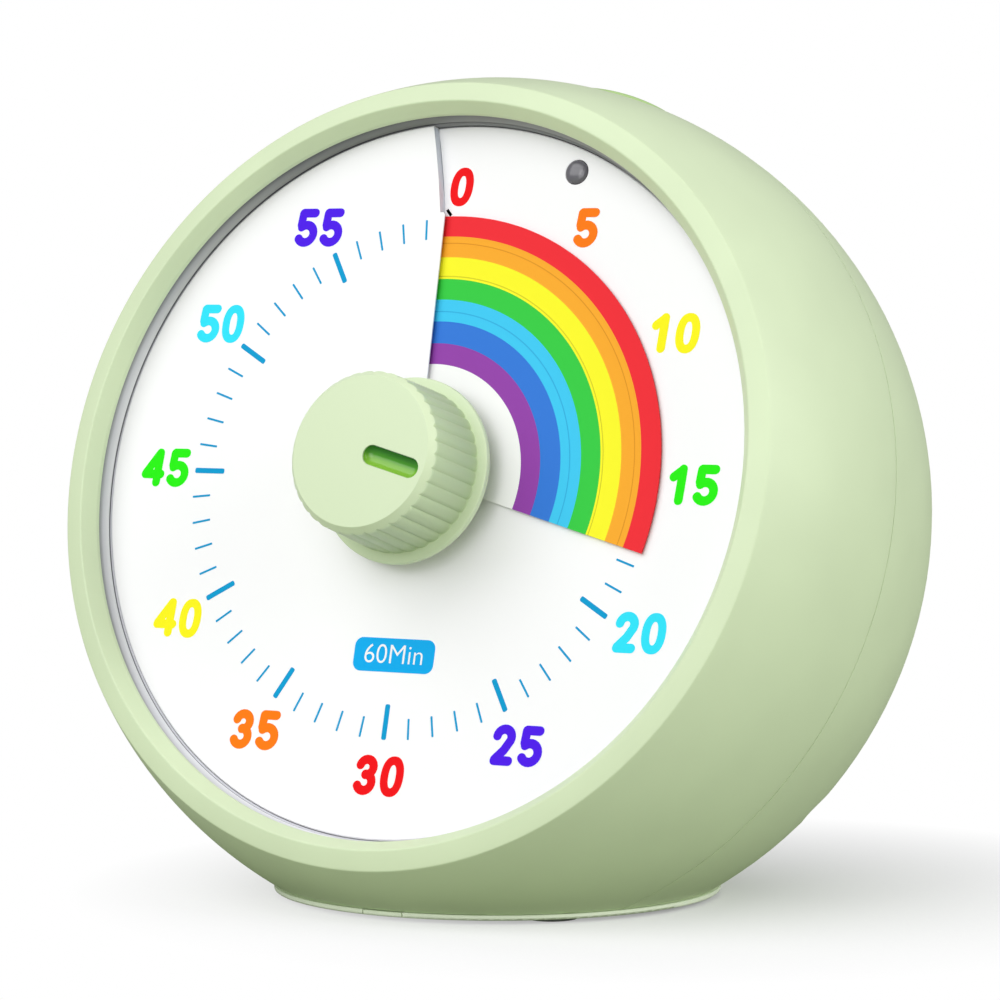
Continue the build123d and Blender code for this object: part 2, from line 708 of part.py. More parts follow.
with BuildPart() as dial_surround:
    with BuildSketch(meridian):
        with BuildLine():
            Polyline(
                (surround_r, chassis_front + FACE_GAP),
                (surround_r, lip_under - FACE_GAP),
                (lip_r + 0.1, lip_under - FACE_GAP),
                (DIAL_R + FIT, dial_level),
                (DIAL_R + FIT, chassis_front + FACE_GAP),
                close=True,
            )
        make_face()
    revolve(axis=face_axis)
finish("dial_surround", dial_surround.part)

rim_in_r = DISC_R + DISC_EDGE_CLEARANCE
dial_hole_r = SLEEVE_R + 0.6
dial_profile = [
    (dial_hole_r, 0),
    (DIAL_R, 0),
    (DIAL_R, -DIAL_RIM_T),
    (rim_in_r, -DIAL_RIM_T),
    (rim_in_r, -DIAL_T),
    (dial_hole_r, -DIAL_T),
]
dial_ramp = ramp(dial_profile, SLIT_ANGLE, 360, dial_level)
with BuildPart() as dial_plate:
    add(dial_ramp)
    led_hole_low = dial_level - PITCH - DIAL_RIM_T
    add_rod(led_place, LED_R + FIT, led_hole_low, dial_level + 2 * PITCH, mode=Mode.SUBTRACT)
    # the step slants back from the disc's edge to the rim
    with BuildSketch(face.offset(dial_level)):
        Polygon(
            on_dial(rim_in_r, SLIT_ANGLE),
            on_dial(DIAL_R + 1, SLIT_ANGLE - STEP_SLANT),
            on_dial(DIAL_R + 1, SLIT_ANGLE),
            align=None,
        )
    extrude(amount=2 * PITCH, mode=Mode.SUBTRACT)
    # small relief at the outer end of the slit, where the disc's edge passes
    with BuildSketch(face.offset(dial_level - PITCH)):
        with Locations(on_dial(rim_in_r + 0.1, SLIT_ANGLE + 0.6)):
            Rectangle(0.9, 0.8)
    extrude(amount=2 * PITCH, mode=Mode.SUBTRACT)
finish("dial_plate", dial_plate.part)

set_angle = 360 * SET_MINUTES / FULL_MINUTES
disc_sweep = 360 - DISC_SLIT
disc_start = set_angle - disc_sweep
disc_hub_r = SLEEVE_R - 1.0
disc_under = dial_level + DISC_GAP + PITCH * (disc_start - SLIT_ANGLE) / 360
disc_profile = [(disc_hub_r, 0), (DISC_R, 0), (DISC_R, DISC_T), (disc_hub_r, DISC_T)]
disc_ramp = ramp(disc_profile, disc_start, disc_sweep, disc_under)
with BuildPart() as color_disc:
    add(disc_ramp)
    with BuildSketch(turned(face.offset(dial_level - 2 * PITCH), set_angle)):
        Circle(SLEEVE_R + FIT)
        Rectangle(2 * SLEEVE_R + 1, SLEEVE_FLATS + 2 * FIT, mode=Mode.INTERSECT)
    extrude(amount=5 * PITCH, mode=Mode.SUBTRACT)
finish("color_disc", color_disc.part)

# ---------------------------------------------------------------- knob and its arbor

knob_foot = dial_level + KNOB_LIFT
knob_top = knob_foot + KNOB_H
flange_top = knob_foot + KNOB_FLANGE_T
sleeve_foot = dial_level - 1.6
arbor_tip = knob_top - KNOB_WALL - POINTER_DEPTH - 0.4
knob_taper = degrees(atan((KNOB_FOOT_R - KNOB_R) / (KNOB_H - KNOB_FLANGE_T)))
D_FLAT = 0.45
knob_face = turned(face.offset(knob_top), set_angle)  # its y axis points along the pointer

with BuildPart() as knob:
    with BuildSketch(meridian):
        with BuildLine():
            Polyline(
                (0, knob_top),
                (KNOB_R - KNOB_CHAMFER, knob_top),
                (KNOB_R, knob_top - KNOB_CHAMFER),
                (KNOB_FOOT_R, flange_top),
                (KNOB_FLANGE_R, flange_top),
                (KNOB_FLANGE_R, knob_foot),
                (KNOB_FOOT_R - KNOB_WALL, knob_foot),
                (KNOB_R - KNOB_WALL - 0.3, knob_top - KNOB_WALL - POINTER_DEPTH),
                (0, knob_top - KNOB_WALL - POINTER_DEPTH),
                close=True,
            )
        make_face()
    revolve(axis=face_axis)
    round_edges = knob.edges().filter_by(GeomType.CIRCLE)
    fillet(round_edges.filter_by(lambda edge: abs(edge.radius - KNOB_FLANGE_R) < 0.01), 0.2)
    # narrow flutes down the side, as deep at the foot as at the face, leave wide ribs
    flute_middle = (knob_top + flange_top) / 2
    flute_r = (KNOB_R + KNOB_FOOT_R) / 2 + FLUTE_R - FLUTE_DEPTH
    with Locations(face.offset(flute_middle)):
        with PolarLocations(flute_r, FLUTES):
            Cylinder(FLUTE_R, KNOB_H - KNOB_FLANGE_T, rotation=(0, -knob_taper, 0), mode=Mode.SUBTRACT)
    # sleeve with two flats, on which the disc rides, and the arbor's socket
    with BuildSketch(turned(face.offset(sleeve_foot), set_angle)):
        Circle(SLEEVE_R)
        Rectangle(2 * SLEEVE_R + 1, SLEEVE_FLATS, mode=Mode.INTERSECT)
    extrude(amount=knob_top - KNOB_WALL - POINTER_DEPTH - sleeve_foot + 0.2)
    with BuildSketch(face.offset(sleeve_foot)):
        Circle(ARBOR_R + FIT / 5)
        with Locations((0, ARBOR_R - D_FLAT + FIT / 5)):
            Rectangle(2 * ARBOR_R + 1, 2 * ARBOR_R, align=(Align.CENTER, Align.MIN), mode=Mode.SUBTRACT)
    extrude(amount=arbor_tip + FACE_GAP - sleeve_foot, mode=Mode.SUBTRACT)
    # pointer channel: a round-ended slot in the face
    slot_length = POINTER_LENGTH - POINTER_START
    slot_middle = (POINTER_START + POINTER_LENGTH) / 2
    with BuildSketch(knob_face):
        with Locations((0, slot_middle)):
            SlotOverall(slot_length, POINTER_W, rotation=90)
    extrude(amount=-POINTER_DEPTH, mode=Mode.SUBTRACT)
finish("knob", knob.part)

inlay_groove_r = (POINTER_W - 2 * INLAY_T) / 2
with BuildPart() as pointer_inlay:
    with BuildSketch(knob_face.offset(-POINTER_DEPTH + FACE_GAP)):
        with Locations((0, slot_middle)):
            SlotOverall(slot_length - FACE_GAP, POINTER_W - FACE_GAP, rotation=90)
    extrude(amount=POINTER_DEPTH - 0.25)
    # half-round groove with ball ends
    groove_y = (POINTER_START + POINTER_W / 2, POINTER_LENGTH - POINTER_W / 2)
    with Locations(*[knob_face.offset(-0.15).location * Location((0, y, 0)) for y in groove_y]):
        Sphere(inlay_groove_r, mode=Mode.SUBTRACT)
    with BuildSketch(Plane(knob_face.offset(-0.15).location * Location((0, groove_y[0], 0), (-90, 0, 0)))):
        Circle(inlay_groove_r)
    extrude(amount=groove_y[1] - groove_y[0], mode=Mode.SUBTRACT)
finish("pointer_inlay", pointer_inlay.part)

# ---------------------------------------------------------------- movement: sizes and places

# Levels of the train, from the front plate's inner face backwards
COLLAR_R = 3.0
collar_top = movement_back - 0.3
collar_under = collar_top - 0.7
centre_top = collar_under - FACE_GAP
centre_under = centre_top - WHEEL_T
CLUTCH_H = 0.5
clutch_under = centre_under - FACE_GAP - CLUTCH_H
CLIP_T = 0.4
clip_under = clutch_under - FACE_GAP - CLIP_T
WHEEL_STEP = 0.6  # axial gap from one wheel to the next
third_top = clip_under - 0.3
fourth_top = third_top - WHEEL_T - WHEEL_STEP
fifth_top = fourth_top - WHEEL_T - WHEEL_STEP
rotor_pinion_top = fifth_top + FIT
rotor_pinion_under = fifth_top - WHEEL_T - 0.4
MAGNET_R = 2.6
MAGNET_T = 2.2
ROTOR_NECK_R = 1.1
magnet_top = rotor_pinion_under - 0.2
STATOR_T = 0.8
stator_top = magnet_top - 0.7
stator_under = stator_top - STATOR_T
rear_inner = stator_under - 2.9
rear_outer = rear_inner - PLATE_T
REAR_JOURNAL_R = 1.0
PIVOT_DEPTH = 1.0
pivot_low = rear_inner - PIVOT_DEPTH + FIT
pivot_high = movement_back + PIVOT_DEPTH - FIT


def step_from(place, distance, direction):
    """The place at a distance from another one on the face; the direction is in degrees from +X."""
    return place[0] + distance * cos(radians(direction)), place[1] + distance * sin(radians(direction))


THIRD_DIRECTION, FOURTH_DIRECTION, FIFTH_DIRECTION, ROTOR_DIRECTION = 0, 100, 150, 200
centre_place = (0, 0)
third_place = step_from(centre_place, CENTRE_MODULE * (CENTRE_TEETH + SLOW_PINION) / 2, THIRD_DIRECTION)
fourth_place = step_from(third_place, MODULE * (WHEEL_TEETH + SLOW_PINION) / 2, FOURTH_DIRECTION)
fifth_place = step_from(fourth_place, MODULE * (WHEEL_TEETH + FAST_PINION) / 2, FIFTH_DIRECTION)
rotor_place = step_from(fifth_place, MODULE * (WHEEL_TEETH + ROTOR_PINION) / 2, ROTOR_DIRECTION)
pivot_places = [third_place, fourth_place, fifth_place, rotor_place]

COIL_X = -18.0
COIL_LENGTH = 17.2
LIMB_W = 2.8
STATOR_RIGHT = -4.5
STATOR_TOP = 16.5
STATOR_FOOT = -11.3
coil_middle = (stator_top + stator_under) / 2
stator_posts = [(COIL_X + 1, STATOR_FOOT + 1.3), (STATOR_RIGHT - 1.6, STATOR_FOOT + 1.6), (-15.2, 13.5)]


WINDOW_PLACE_R = 5.4
WINDOW_R = 1.9
PINION_REACH = 0.1  # a pinion runs this much past the wheel that drives it


def train_wheel(place, driver_direction, next_direction, top, pinion_teeth, pinion_module, driver_top):
    """A wheel and its pinion on one arbor, whose pivots turn in both plates.

    The pinion meets the driving wheel, and the wheel's first tooth points at the next pinion.
    """
    with BuildPart() as built:
        add_gear(place, WHEEL_TEETH, MODULE, top - WHEEL_T, top, next_direction)
        with BuildSketch(face.offset(top)) as windows:
            with Locations(place):
                with PolarLocations(WINDOW_PLACE_R, 5):
                    Circle(WINDOW_R)
        extrude(windows.sketch, amount=-WHEEL_T, mode=Mode.SUBTRACT)
        pinion_turn = meshing(driver_direction, pinion_teeth)
        add_gear(place, pinion_teeth, pinion_module, top, driver_top + PINION_REACH, pinion_turn)
        add_rod(place, PIVOT_R, pivot_low, pivot_high)
    return built.part


def meshing(direction, teeth):
    """The turn that puts a pinion's gap on the tooth that a wheel points at it."""
    return direction + 180 + 180 / teeth


# ---------------------------------------------------------------- movement: the pieces

CASE_WALL = 1.2
CASE_CORNER_R = 3.0
CASE_BOSS_R = 2.2
STATOR_POST_R = 1.2

with BuildPart() as movement_front_plate:
    with BuildSketch(face.offset(movement_back)):
        with Locations(MOVEMENT_MIDDLE):
            RectangleRounded(MOVEMENT_W, MOVEMENT_H, CASE_CORNER_R)
    extrude(amount=movement_front - movement_back)
    with BuildSketch(face.offset(movement_back)):
        with Locations(*pivot_places):
            Circle(PIVOT_R + RUN)
    extrude(amount=PIVOT_DEPTH, mode=Mode.SUBTRACT)
    add_rod(centre_place, BUSH_R + RUN, movement_back, movement_front, mode=Mode.SUBTRACT)
    for place in movement_screw_places:
        add_rod(place, MOVEMENT_SCREW_R + FIT, movement_back, movement_front, mode=Mode.SUBTRACT)
finish("movement_front_plate", movement_front_plate.part)

with BuildPart() as movement_case:
    case_front = movement_back - FACE_GAP
    with BuildSketch(face.offset(rear_outer)):
        with Locations(MOVEMENT_MIDDLE):
            RectangleRounded(MOVEMENT_W, MOVEMENT_H, CASE_CORNER_R)
    extrude(amount=case_front - rear_outer)
    fillet(movement_case.edges().group_by(face_axis)[0], 0.6)
    with BuildSketch(face.offset(rear_inner)):
        with Locations(MOVEMENT_MIDDLE):
            case_inner_r = CASE_CORNER_R - CASE_WALL
            RectangleRounded(MOVEMENT_W - 2 * CASE_WALL, MOVEMENT_H - 2 * CASE_WALL, case_inner_r)
    extrude(amount=case_front - rear_inner, mode=Mode.SUBTRACT)
    for place in movement_screw_places:
        add_rod(place, CASE_BOSS_R, rear_inner, case_front)
    for place in stator_posts:
        add_rod(place, STATOR_POST_R, rear_inner, stator_under - FACE_GAP)
    with BuildSketch(face.offset(rear_outer)):
        with Locations(*movement_screw_places):
            Circle(MOVEMENT_SCREW_R + FIT)
    extrude(amount=case_front - rear_outer, mode=Mode.SUBTRACT)
    with BuildSketch(face.offset(rear_inner - PIVOT_DEPTH)):
        with Locations(*pivot_places):
            Circle(PIVOT_R + RUN)
        with Locations(centre_place):
            Circle(REAR_JOURNAL_R + RUN)
    extrude(amount=PIVOT_DEPTH, mode=Mode.SUBTRACT)
finish("movement_case", movement_case.part)

MOVEMENT_HEAD_R = 1.7
MOVEMENT_HEAD_H = 1.0
movement_screws = screw_set(
    flipped(face.offset(rear_outer - FACE_GAP)),
    [(x, -y) for x, y in movement_screw_places],
    MOVEMENT_SCREW_R,
    chassis_front - rear_outer - FREE,
    MOVEMENT_HEAD_R,
    MOVEMENT_HEAD_H,
)
finish("movement_screws", movement_screws)

with BuildPart() as arbor_bush:
    bush_flange_under = chassis_front + FACE_GAP
    add_rod(centre_place, BUSH_R, movement_back, bush_flange_under)
    add_rod(centre_place, BUSH_FLANGE_R, bush_flange_under, bush_flange_under + BUSH_FLANGE_T)
    add_rod(centre_place, ARBOR_R + RUN, movement_back, dial_level, mode=Mode.SUBTRACT)
finish("arbor_bush", arbor_bush.part)

ARBOR_FOOT = 0.6  # full thickness of the arbor below the clip
GROOVE_DEPTH = 0.35
CLIP_R = 2.6
CLIP_MOUTH_W = 1.8
CLUTCH_R = 3.5

with BuildPart() as main_arbor:
    add_rod(centre_place, ARBOR_R, clip_under - ARBOR_FOOT, arbor_tip)
    add_rod(centre_place, COLLAR_R, collar_under, collar_top)
    add_rod(centre_place, REAR_JOURNAL_R, pivot_low, clip_under)
    with BuildSketch(face.offset(sleeve_foot - 0.2)):  # flat that turns the knob
        with Locations((0, ARBOR_R - D_FLAT)):
            Rectangle(2 * ARBOR_R, 2 * ARBOR_R, align=(Align.CENTER, Align.MIN))
    extrude(amount=arbor_tip - sleeve_foot + 1, mode=Mode.SUBTRACT)
    with BuildSketch(face.offset(clip_under - FACE_GAP)):
        Circle(ARBOR_R + 0.1)
        Circle(ARBOR_R - GROOVE_DEPTH, mode=Mode.SUBTRACT)
    extrude(amount=CLIP_T + 2 * FACE_GAP, mode=Mode.SUBTRACT)
finish("main_arbor", main_arbor.part)

with BuildPart() as retaining_clip:
    with BuildSketch(face.offset(clip_under)):
        Circle(CLIP_R)
        Circle(ARBOR_R - GROOVE_DEPTH + FACE_GAP, mode=Mode.SUBTRACT)
        Rectangle(CLIP_MOUTH_W, CLIP_R + 1, align=(Align.CENTER, Align.MIN), mode=Mode.SUBTRACT)
    extrude(amount=CLIP_T)
finish("retaining_clip", retaining_clip.part)

with BuildPart() as clutch_spring:
    with BuildSketch(meridian):
        with BuildLine():
            Polyline(
                (ARBOR_R + FIT, clutch_under),
                (CLUTCH_R, clutch_under + CLUTCH_H / 2),
                (CLUTCH_R, clutch_under + CLUTCH_H),
                (ARBOR_R + FIT, clutch_under + CLUTCH_H / 2),
                close=True,
            )
        make_face()
    revolve(axis=face_axis)
finish("clutch_spring", clutch_spring.part)

with BuildPart() as centre_wheel:
    add_gear(centre_place, CENTRE_TEETH, CENTRE_MODULE, centre_under, centre_top, THIRD_DIRECTION)
    with BuildSketch(face.offset(centre_under)):
        with PolarLocations(WINDOW_PLACE_R + 1.7, 6):
            Circle(WINDOW_R + 0.2)
        Circle(ARBOR_R + RUN)
    extrude(amount=WHEEL_T, mode=Mode.SUBTRACT)
finish("centre_wheel", centre_wheel.part)

third_wheel = train_wheel(
    third_place, THIRD_DIRECTION, FOURTH_DIRECTION, third_top, SLOW_PINION, CENTRE_MODULE, centre_top
)
finish("third_wheel", third_wheel)
fourth_wheel = train_wheel(
    fourth_place, FOURTH_DIRECTION, FIFTH_DIRECTION, fourth_top, SLOW_PINION, MODULE, third_top
)
finish("fourth_wheel", fourth_wheel)
fifth_wheel = train_wheel(
    fifth_place, FIFTH_DIRECTION, ROTOR_DIRECTION, fifth_top, FAST_PINION, MODULE, fourth_top
)
finish("fifth_wheel", fifth_wheel)

with BuildPart() as rotor:
    add_rod(rotor_place, MAGNET_R, magnet_top - MAGNET_T, magnet_top)
    rotor_turn = meshing(ROTOR_DIRECTION, ROTOR_PINION)
    add_gear(rotor_place, ROTOR_PINION, MODULE, rotor_pinion_under, rotor_pinion_top, rotor_turn)
    add_rod(rotor_place, ROTOR_NECK_R, magnet_top, rotor_pinion_under)
    add_rod(rotor_place, PIVOT_R, pivot_low, pivot_high)
finish("rotor", rotor.part)

limb_left = COIL_X - LIMB_W / 2
WINDOW_W = 2.1  # gap beside the limb, for the winding
BOBBIN_WALL = 0.8
BOBBIN_FLANGE_T = 0.7
WINDING_W = 6.2
WINDING_H = 5.2
with BuildPart() as stator:
    with BuildSketch(face.offset(stator_under)):
        with Locations((limb_left, STATOR_FOOT)):
            Rectangle(STATOR_RIGHT - limb_left, STATOR_TOP - STATOR_FOOT, align=(Align.MIN, Align.MIN))
        with Locations((COIL_X + LIMB_W / 2, 0)):
            Rectangle(WINDOW_W, COIL_LENGTH + 0.4, align=(Align.MIN, Align.CENTER), mode=Mode.SUBTRACT)
        with Locations(rotor_place):
            Circle(MAGNET_R + 0.5, mode=Mode.SUBTRACT)
    extrude(amount=STATOR_T)
finish("stator", stator.part)


def coil_plane(y):
    """A plane across the coil, square to the limb that it is wound on."""
    x_dir, z_dir = face.x_dir, face.y_dir
    origin = face.from_local_coords((COIL_X, y, coil_middle))
    return Plane(origin=origin, x_dir=x_dir, z_dir=z_dir)


with BuildPart() as coil_bobbin:
    with BuildSketch(coil_plane(-COIL_LENGTH / 2)):
        RectangleRounded(LIMB_W + 2 * BOBBIN_WALL, STATOR_T + 2 * BOBBIN_WALL, BOBBIN_WALL / 2)
    extrude(amount=COIL_LENGTH)
    for flange_foot in (-COIL_LENGTH / 2, COIL_LENGTH / 2 - BOBBIN_FLANGE_T):
        with BuildSketch(coil_plane(flange_foot)):
            RectangleRounded(WINDING_W + FREE, WINDING_H + FREE, BOBBIN_WALL)
        extrude(amount=BOBBIN_FLANGE_T)
    with BuildSketch(coil_plane(-COIL_LENGTH / 2)):
        Rectangle(LIMB_W + FIT, STATOR_T + FIT)
    extrude(amount=COIL_LENGTH, mode=Mode.SUBTRACT)
finish("coil_bobbin", coil_bobbin.part)

winding_length = COIL_LENGTH - 2 * (BOBBIN_FLANGE_T + FIT)
with BuildPart() as coil_winding:
    with BuildSketch(coil_plane(-winding_length / 2)):
        RectangleRounded(WINDING_W, WINDING_H, 1.4)
        core_w = LIMB_W + 2 * BOBBIN_WALL + FIT
        core_h = STATOR_T + 2 * BOBBIN_WALL + FIT
        RectangleRounded(core_w, core_h, BOBBIN_WALL / 2, mode=Mode.SUBTRACT)
    extrude(amount=winding_length)
finish("coil_winding", coil_winding.part)

# ---------------------------------------------------------------- light, boards, buzzer and switch

LED_BOARD_T = 1.2
LED_FLANGE_T = 0.9
LED_DOME_RISE = 0.1  # the dome starts this share of the ramp's rise above its low end
led_board_back = led_board_front - LED_BOARD_T

with BuildPart() as indicator_led:
    led_foot = led_board_front + FACE_GAP
    led_shoulder = dial_level + PITCH * LED_DOME_RISE
    add_rod(led_place, LED_FLANGE_R, led_foot, led_foot + LED_FLANGE_T)
    add_rod(led_place, LED_R, led_foot, led_shoulder)
    with Locations(face.location * Location((led_place[0], led_place[1], led_shoulder))):
        Sphere(LED_R)
finish("indicator_led", indicator_led.part)

with BuildPart() as led_board:
    with BuildSketch(face.offset(led_board_back)):
        with Locations(((led_place[0] + led_board_screw[0]) / 2 + 0.4, led_place[1])):
            RectangleRounded(LED_BOARD_W, LED_BOARD_H, 0.8)
        with Locations(led_board_screw):
            Circle(BOARD_SCREW_R + FIT, mode=Mode.SUBTRACT)
    extrude(amount=LED_BOARD_T)
finish("led_board", led_board.part)

with BuildPart() as circuit_board:
    with BuildSketch(back_plane(board_front)):
        with Locations((0, board_z)):
            RectangleRounded(BOARD_W, BOARD_H, 2.0)
        with Locations(*board_screw_places):
            Circle(BOARD_SCREW_R + FIT, mode=Mode.SUBTRACT)
    extrude(amount=board_t)
finish("circuit_board", circuit_board.part)

CHIP_R = 4.0
CHIP_H = 1.2

with BuildPart() as controller_chip:
    with BuildSketch(back_plane(board_front - FACE_GAP)):
        with Locations((0, board_z + 3)):
            Circle(CHIP_R)
    extrude(amount=-CHIP_H)
    fillet(controller_chip.edges().group_by(Axis.Y)[0], 0.75 * CHIP_H)
finish("controller_chip", controller_chip.part)

BUZZER_PORT_R = 1.2
BUZZER_FLOOR_T = 1.5

with BuildPart() as buzzer:
    with BuildSketch(back_plane(board_back + FACE_GAP)):
        with Locations((0, buzzer_z)):
            Circle(BUZZER_R)
    extrude(amount=BUZZER_H)
    fillet(buzzer.edges().group_by(Axis.Y)[-1], 0.4)
    with BuildSketch(back_plane(board_back + BUZZER_FLOOR_T)):
        with Locations((0, buzzer_z)):
            Circle(BUZZER_PORT_R)
    extrude(amount=BUZZER_H, mode=Mode.SUBTRACT)
finish("buzzer", buzzer.part)

SWITCH_W = 9.4
SWITCH_H = 4.2
SWITCH_D = 3.2
LEVER_W = 1.6
LEVER_DEPTH = 1.8
GUARD_GAP = 0.2
THUMB_SINK = 0.9  # the thumb piece ends this far under the body's round
GRIP_R = 0.35
switch_top = board_back + FACE_GAP + SWITCH_D
with BuildPart() as slide_switch:
    with BuildSketch(back_plane(board_back + FACE_GAP)):
        with Locations((0, switch_z)):
            Rectangle(SWITCH_W, SWITCH_H)
    extrude(amount=SWITCH_D)
    with BuildSketch(back_plane(switch_top)):
        with Locations((0, switch_z)):
            Rectangle(2 * SWITCH_TRAVEL + LEVER_W + 2 * FIT, LEVER_W + 2 * FIT)
    extrude(amount=-LEVER_DEPTH - GUARD_GAP, mode=Mode.SUBTRACT)
finish("slide_switch", slide_switch.part)

with BuildPart() as switch_slider:
    with BuildSketch(back_plane(switch_top - LEVER_DEPTH)):
        with Locations((0, switch_z)):
            Rectangle(LEVER_W, LEVER_W)
    extrude(amount=LEVER_DEPTH + 2 * GUARD_GAP)
    with BuildSketch(back_plane(switch_top + GUARD_GAP)):  # guard that closes the slot from inside
        with Locations((0, switch_z)):
            RectangleRounded(2 * (SWITCH_TRAVEL + THUMB_W) + 1, SLOT_H + 2, 0.8)
    extrude(amount=pocket_floor - PAD_T - FIT - switch_top - GUARD_GAP)
    with BuildSketch(back_plane(switch_top + GUARD_GAP + FIT)):
        with Locations((0, switch_z)):
            RectangleRounded(THUMB_W, SLOT_H - 2 * FREE, 0.6)
    extrude(amount=body_r - THUMB_SINK - switch_top - GUARD_GAP)
    with BuildSketch(Plane.XY.offset(switch_z - SLOT_H)):  # grip grooves across the thumb piece
        with Locations(*[(x, body_r - THUMB_SINK + FIT) for x in (-1.2, 0, 1.2)]):
            Circle(GRIP_R)
    extrude(amount=2 * SLOT_H, mode=Mode.SUBTRACT)
finish("switch_slider", switch_slider.part)

# ---------------------------------------------------------------- top button

PIN_R = 2.0
TACT_W = 6.0
TACT_H = 3.6
PLUNGER_R = 1.7
PLUNGER_H = 0.8
BUTTON_SPRING_R = 5.2
BUTTON_WIRE_R = 0.35
BUTTON_SKIRT_T = 1.6
BUTTON_EDGE_R = 0.9
button_under = body_r - 1.0
plunger_top = button_board_top + FACE_GAP + TACT_H + PLUNGER_H
button_meridian = Plane(origin=CENTRE, x_dir=(1, 0, 0), z_dir=Vector(1, 0, 0).cross(button_axis))

with BuildPart() as top_button:
    with BuildSketch(button_meridian):
        with BuildLine():
            crown_r = body_r + BUTTON_PROUD
            reach = degrees(asin(BUTTON_R / crown_r))
            crown = CenterArc((0, 0), crown_r, 90 - reach, reach)
            Polyline(
                crown @ 0,
                (BUTTON_R, button_flange_top),
                (button_flange_r, button_flange_top),
                (button_flange_r, button_flange_foot),
                (BUTTON_R - BUTTON_SKIRT_T, button_flange_foot),
                (BUTTON_R - BUTTON_SKIRT_T, button_under),
                (PIN_R, button_under),
                (PIN_R, plunger_top + BUTTON_TRAVEL + FACE_GAP),
                (0, plunger_top + BUTTON_TRAVEL + FACE_GAP),
                crown @ 1,
            )
        make_face()
    revolve(axis=Axis(CENTRE, button_axis))
    round_edges = top_button.edges().filter_by(GeomType.CIRCLE)
    rim = round_edges.filter_by(lambda edge: abs(edge.radius - BUTTON_R) < 0.01)
    fillet(rim.sort_by(Axis(CENTRE, button_axis))[-1], BUTTON_EDGE_R)
finish("top_button", top_button.part)

BUTTON_BOARD_H = 13.0
BOARD_CORNER_R = 2.0

with BuildPart() as button_board:
    with BuildSketch(button_plane.offset(button_board_top - board_t)):
        RectangleRounded(2 * (BUTTON_BOSS_X + 3), BUTTON_BOARD_H, BOARD_CORNER_R)
        with Locations((-BUTTON_BOSS_X, 0), (BUTTON_BOSS_X, 0)):
            Circle(BOARD_SCREW_R + FIT, mode=Mode.SUBTRACT)
    extrude(amount=board_t)
finish("button_board", button_board.part)

with BuildPart() as tact_switch:
    with BuildSketch(button_plane.offset(button_board_top + FACE_GAP)):
        RectangleRounded(TACT_W, TACT_W, 0.5)
    extrude(amount=TACT_H)
    with BuildSketch(button_plane.offset(button_board_top + FACE_GAP + TACT_H)):
        Circle(PLUNGER_R)
    extrude(amount=PLUNGER_H)
finish("tact_switch", tact_switch.part)

BUTTON_SPRING_TURNS = 7
spring_length = button_under - button_board_top - 2 * FACE_GAP
top_button_spring = coil_spring(
    button_plane.offset(button_board_top + FACE_GAP),
    [(0, 0)],
    BUTTON_SPRING_R,
    BUTTON_WIRE_R,
    BUTTON_SPRING_TURNS,
    spring_length,
)
finish("top_button_spring", top_button_spring)

BOARD_SCREW_L = 5.5
LED_SCREW_L = 3.0
BOARD_HEAD_R = 1.7
BOARD_HEAD_H = 1.0
main_board_plane = Plane(origin=(0, board_front, 0), x_dir=(1, 0, 0), z_dir=(0, -1, 0))
button_board_plane = flipped(button_plane.offset(button_board_top - board_t))
led_board_plane = flipped(face.offset(led_board_back))
board_screw_groups = [
    (main_board_plane, board_screw_places, BOARD_SCREW_L),
    (button_board_plane, [(-BUTTON_BOSS_X, 0), (BUTTON_BOSS_X, 0)], BOARD_SCREW_L),
    (led_board_plane, [(led_board_screw[0], -led_board_screw[1])], LED_SCREW_L),
]
with BuildPart() as board_screws:
    for plane, places, length in board_screw_groups:
        add(screw_set(plane, places, BOARD_SCREW_R, length, BOARD_HEAD_R, BOARD_HEAD_H))
finish("board_screws", board_screws.part)

for node, part in parts.items():
    export_step(part, f"parts/{node}.step")
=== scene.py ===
# %% [markdown]
# # A countdown timer, piece by piece
# The timer is a pale green ball with a leaning white dial. A rainbow disc on the dial shrinks as the time
# runs out, and a fluted knob in the middle sets it. The CAD model holds every piece at its real size, and
# this lesson gives the pieces that can be seen their final shape and finish. Lengths below are written in
# millimetres and multiplied by MM, because Blender works in metres.

# %% Load the frame
import json
from math import acos, asin, atan2, copysign, cos, degrees, hypot, pi, radians, sin, sqrt, tan

import bmesh
import bpy
from mathutils import Euler, Matrix, Vector


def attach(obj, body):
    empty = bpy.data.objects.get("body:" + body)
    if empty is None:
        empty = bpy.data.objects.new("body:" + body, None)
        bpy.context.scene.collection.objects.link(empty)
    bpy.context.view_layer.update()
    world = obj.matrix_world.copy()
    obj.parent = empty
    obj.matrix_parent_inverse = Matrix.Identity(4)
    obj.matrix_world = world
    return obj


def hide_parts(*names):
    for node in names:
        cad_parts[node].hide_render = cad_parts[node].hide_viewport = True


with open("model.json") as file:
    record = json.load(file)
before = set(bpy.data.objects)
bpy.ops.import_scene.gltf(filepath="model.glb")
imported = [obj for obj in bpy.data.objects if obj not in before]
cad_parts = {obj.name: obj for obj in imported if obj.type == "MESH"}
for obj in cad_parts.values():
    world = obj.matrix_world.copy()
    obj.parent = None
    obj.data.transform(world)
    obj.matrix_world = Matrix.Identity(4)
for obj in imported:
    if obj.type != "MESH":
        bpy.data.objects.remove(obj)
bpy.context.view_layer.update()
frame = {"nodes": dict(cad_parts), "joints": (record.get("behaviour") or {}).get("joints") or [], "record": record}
MM = 0.001

# %% [markdown]
# Nearly everything in front is round about one axis, that of the dial. So the pieces are modelled upright,
# with this axis along Z, and then leaned back all together. The knob's joint gives the axis: it points into
# the body and stands on the dial's low end. A "level" is a height along the axis from the ball's centre.

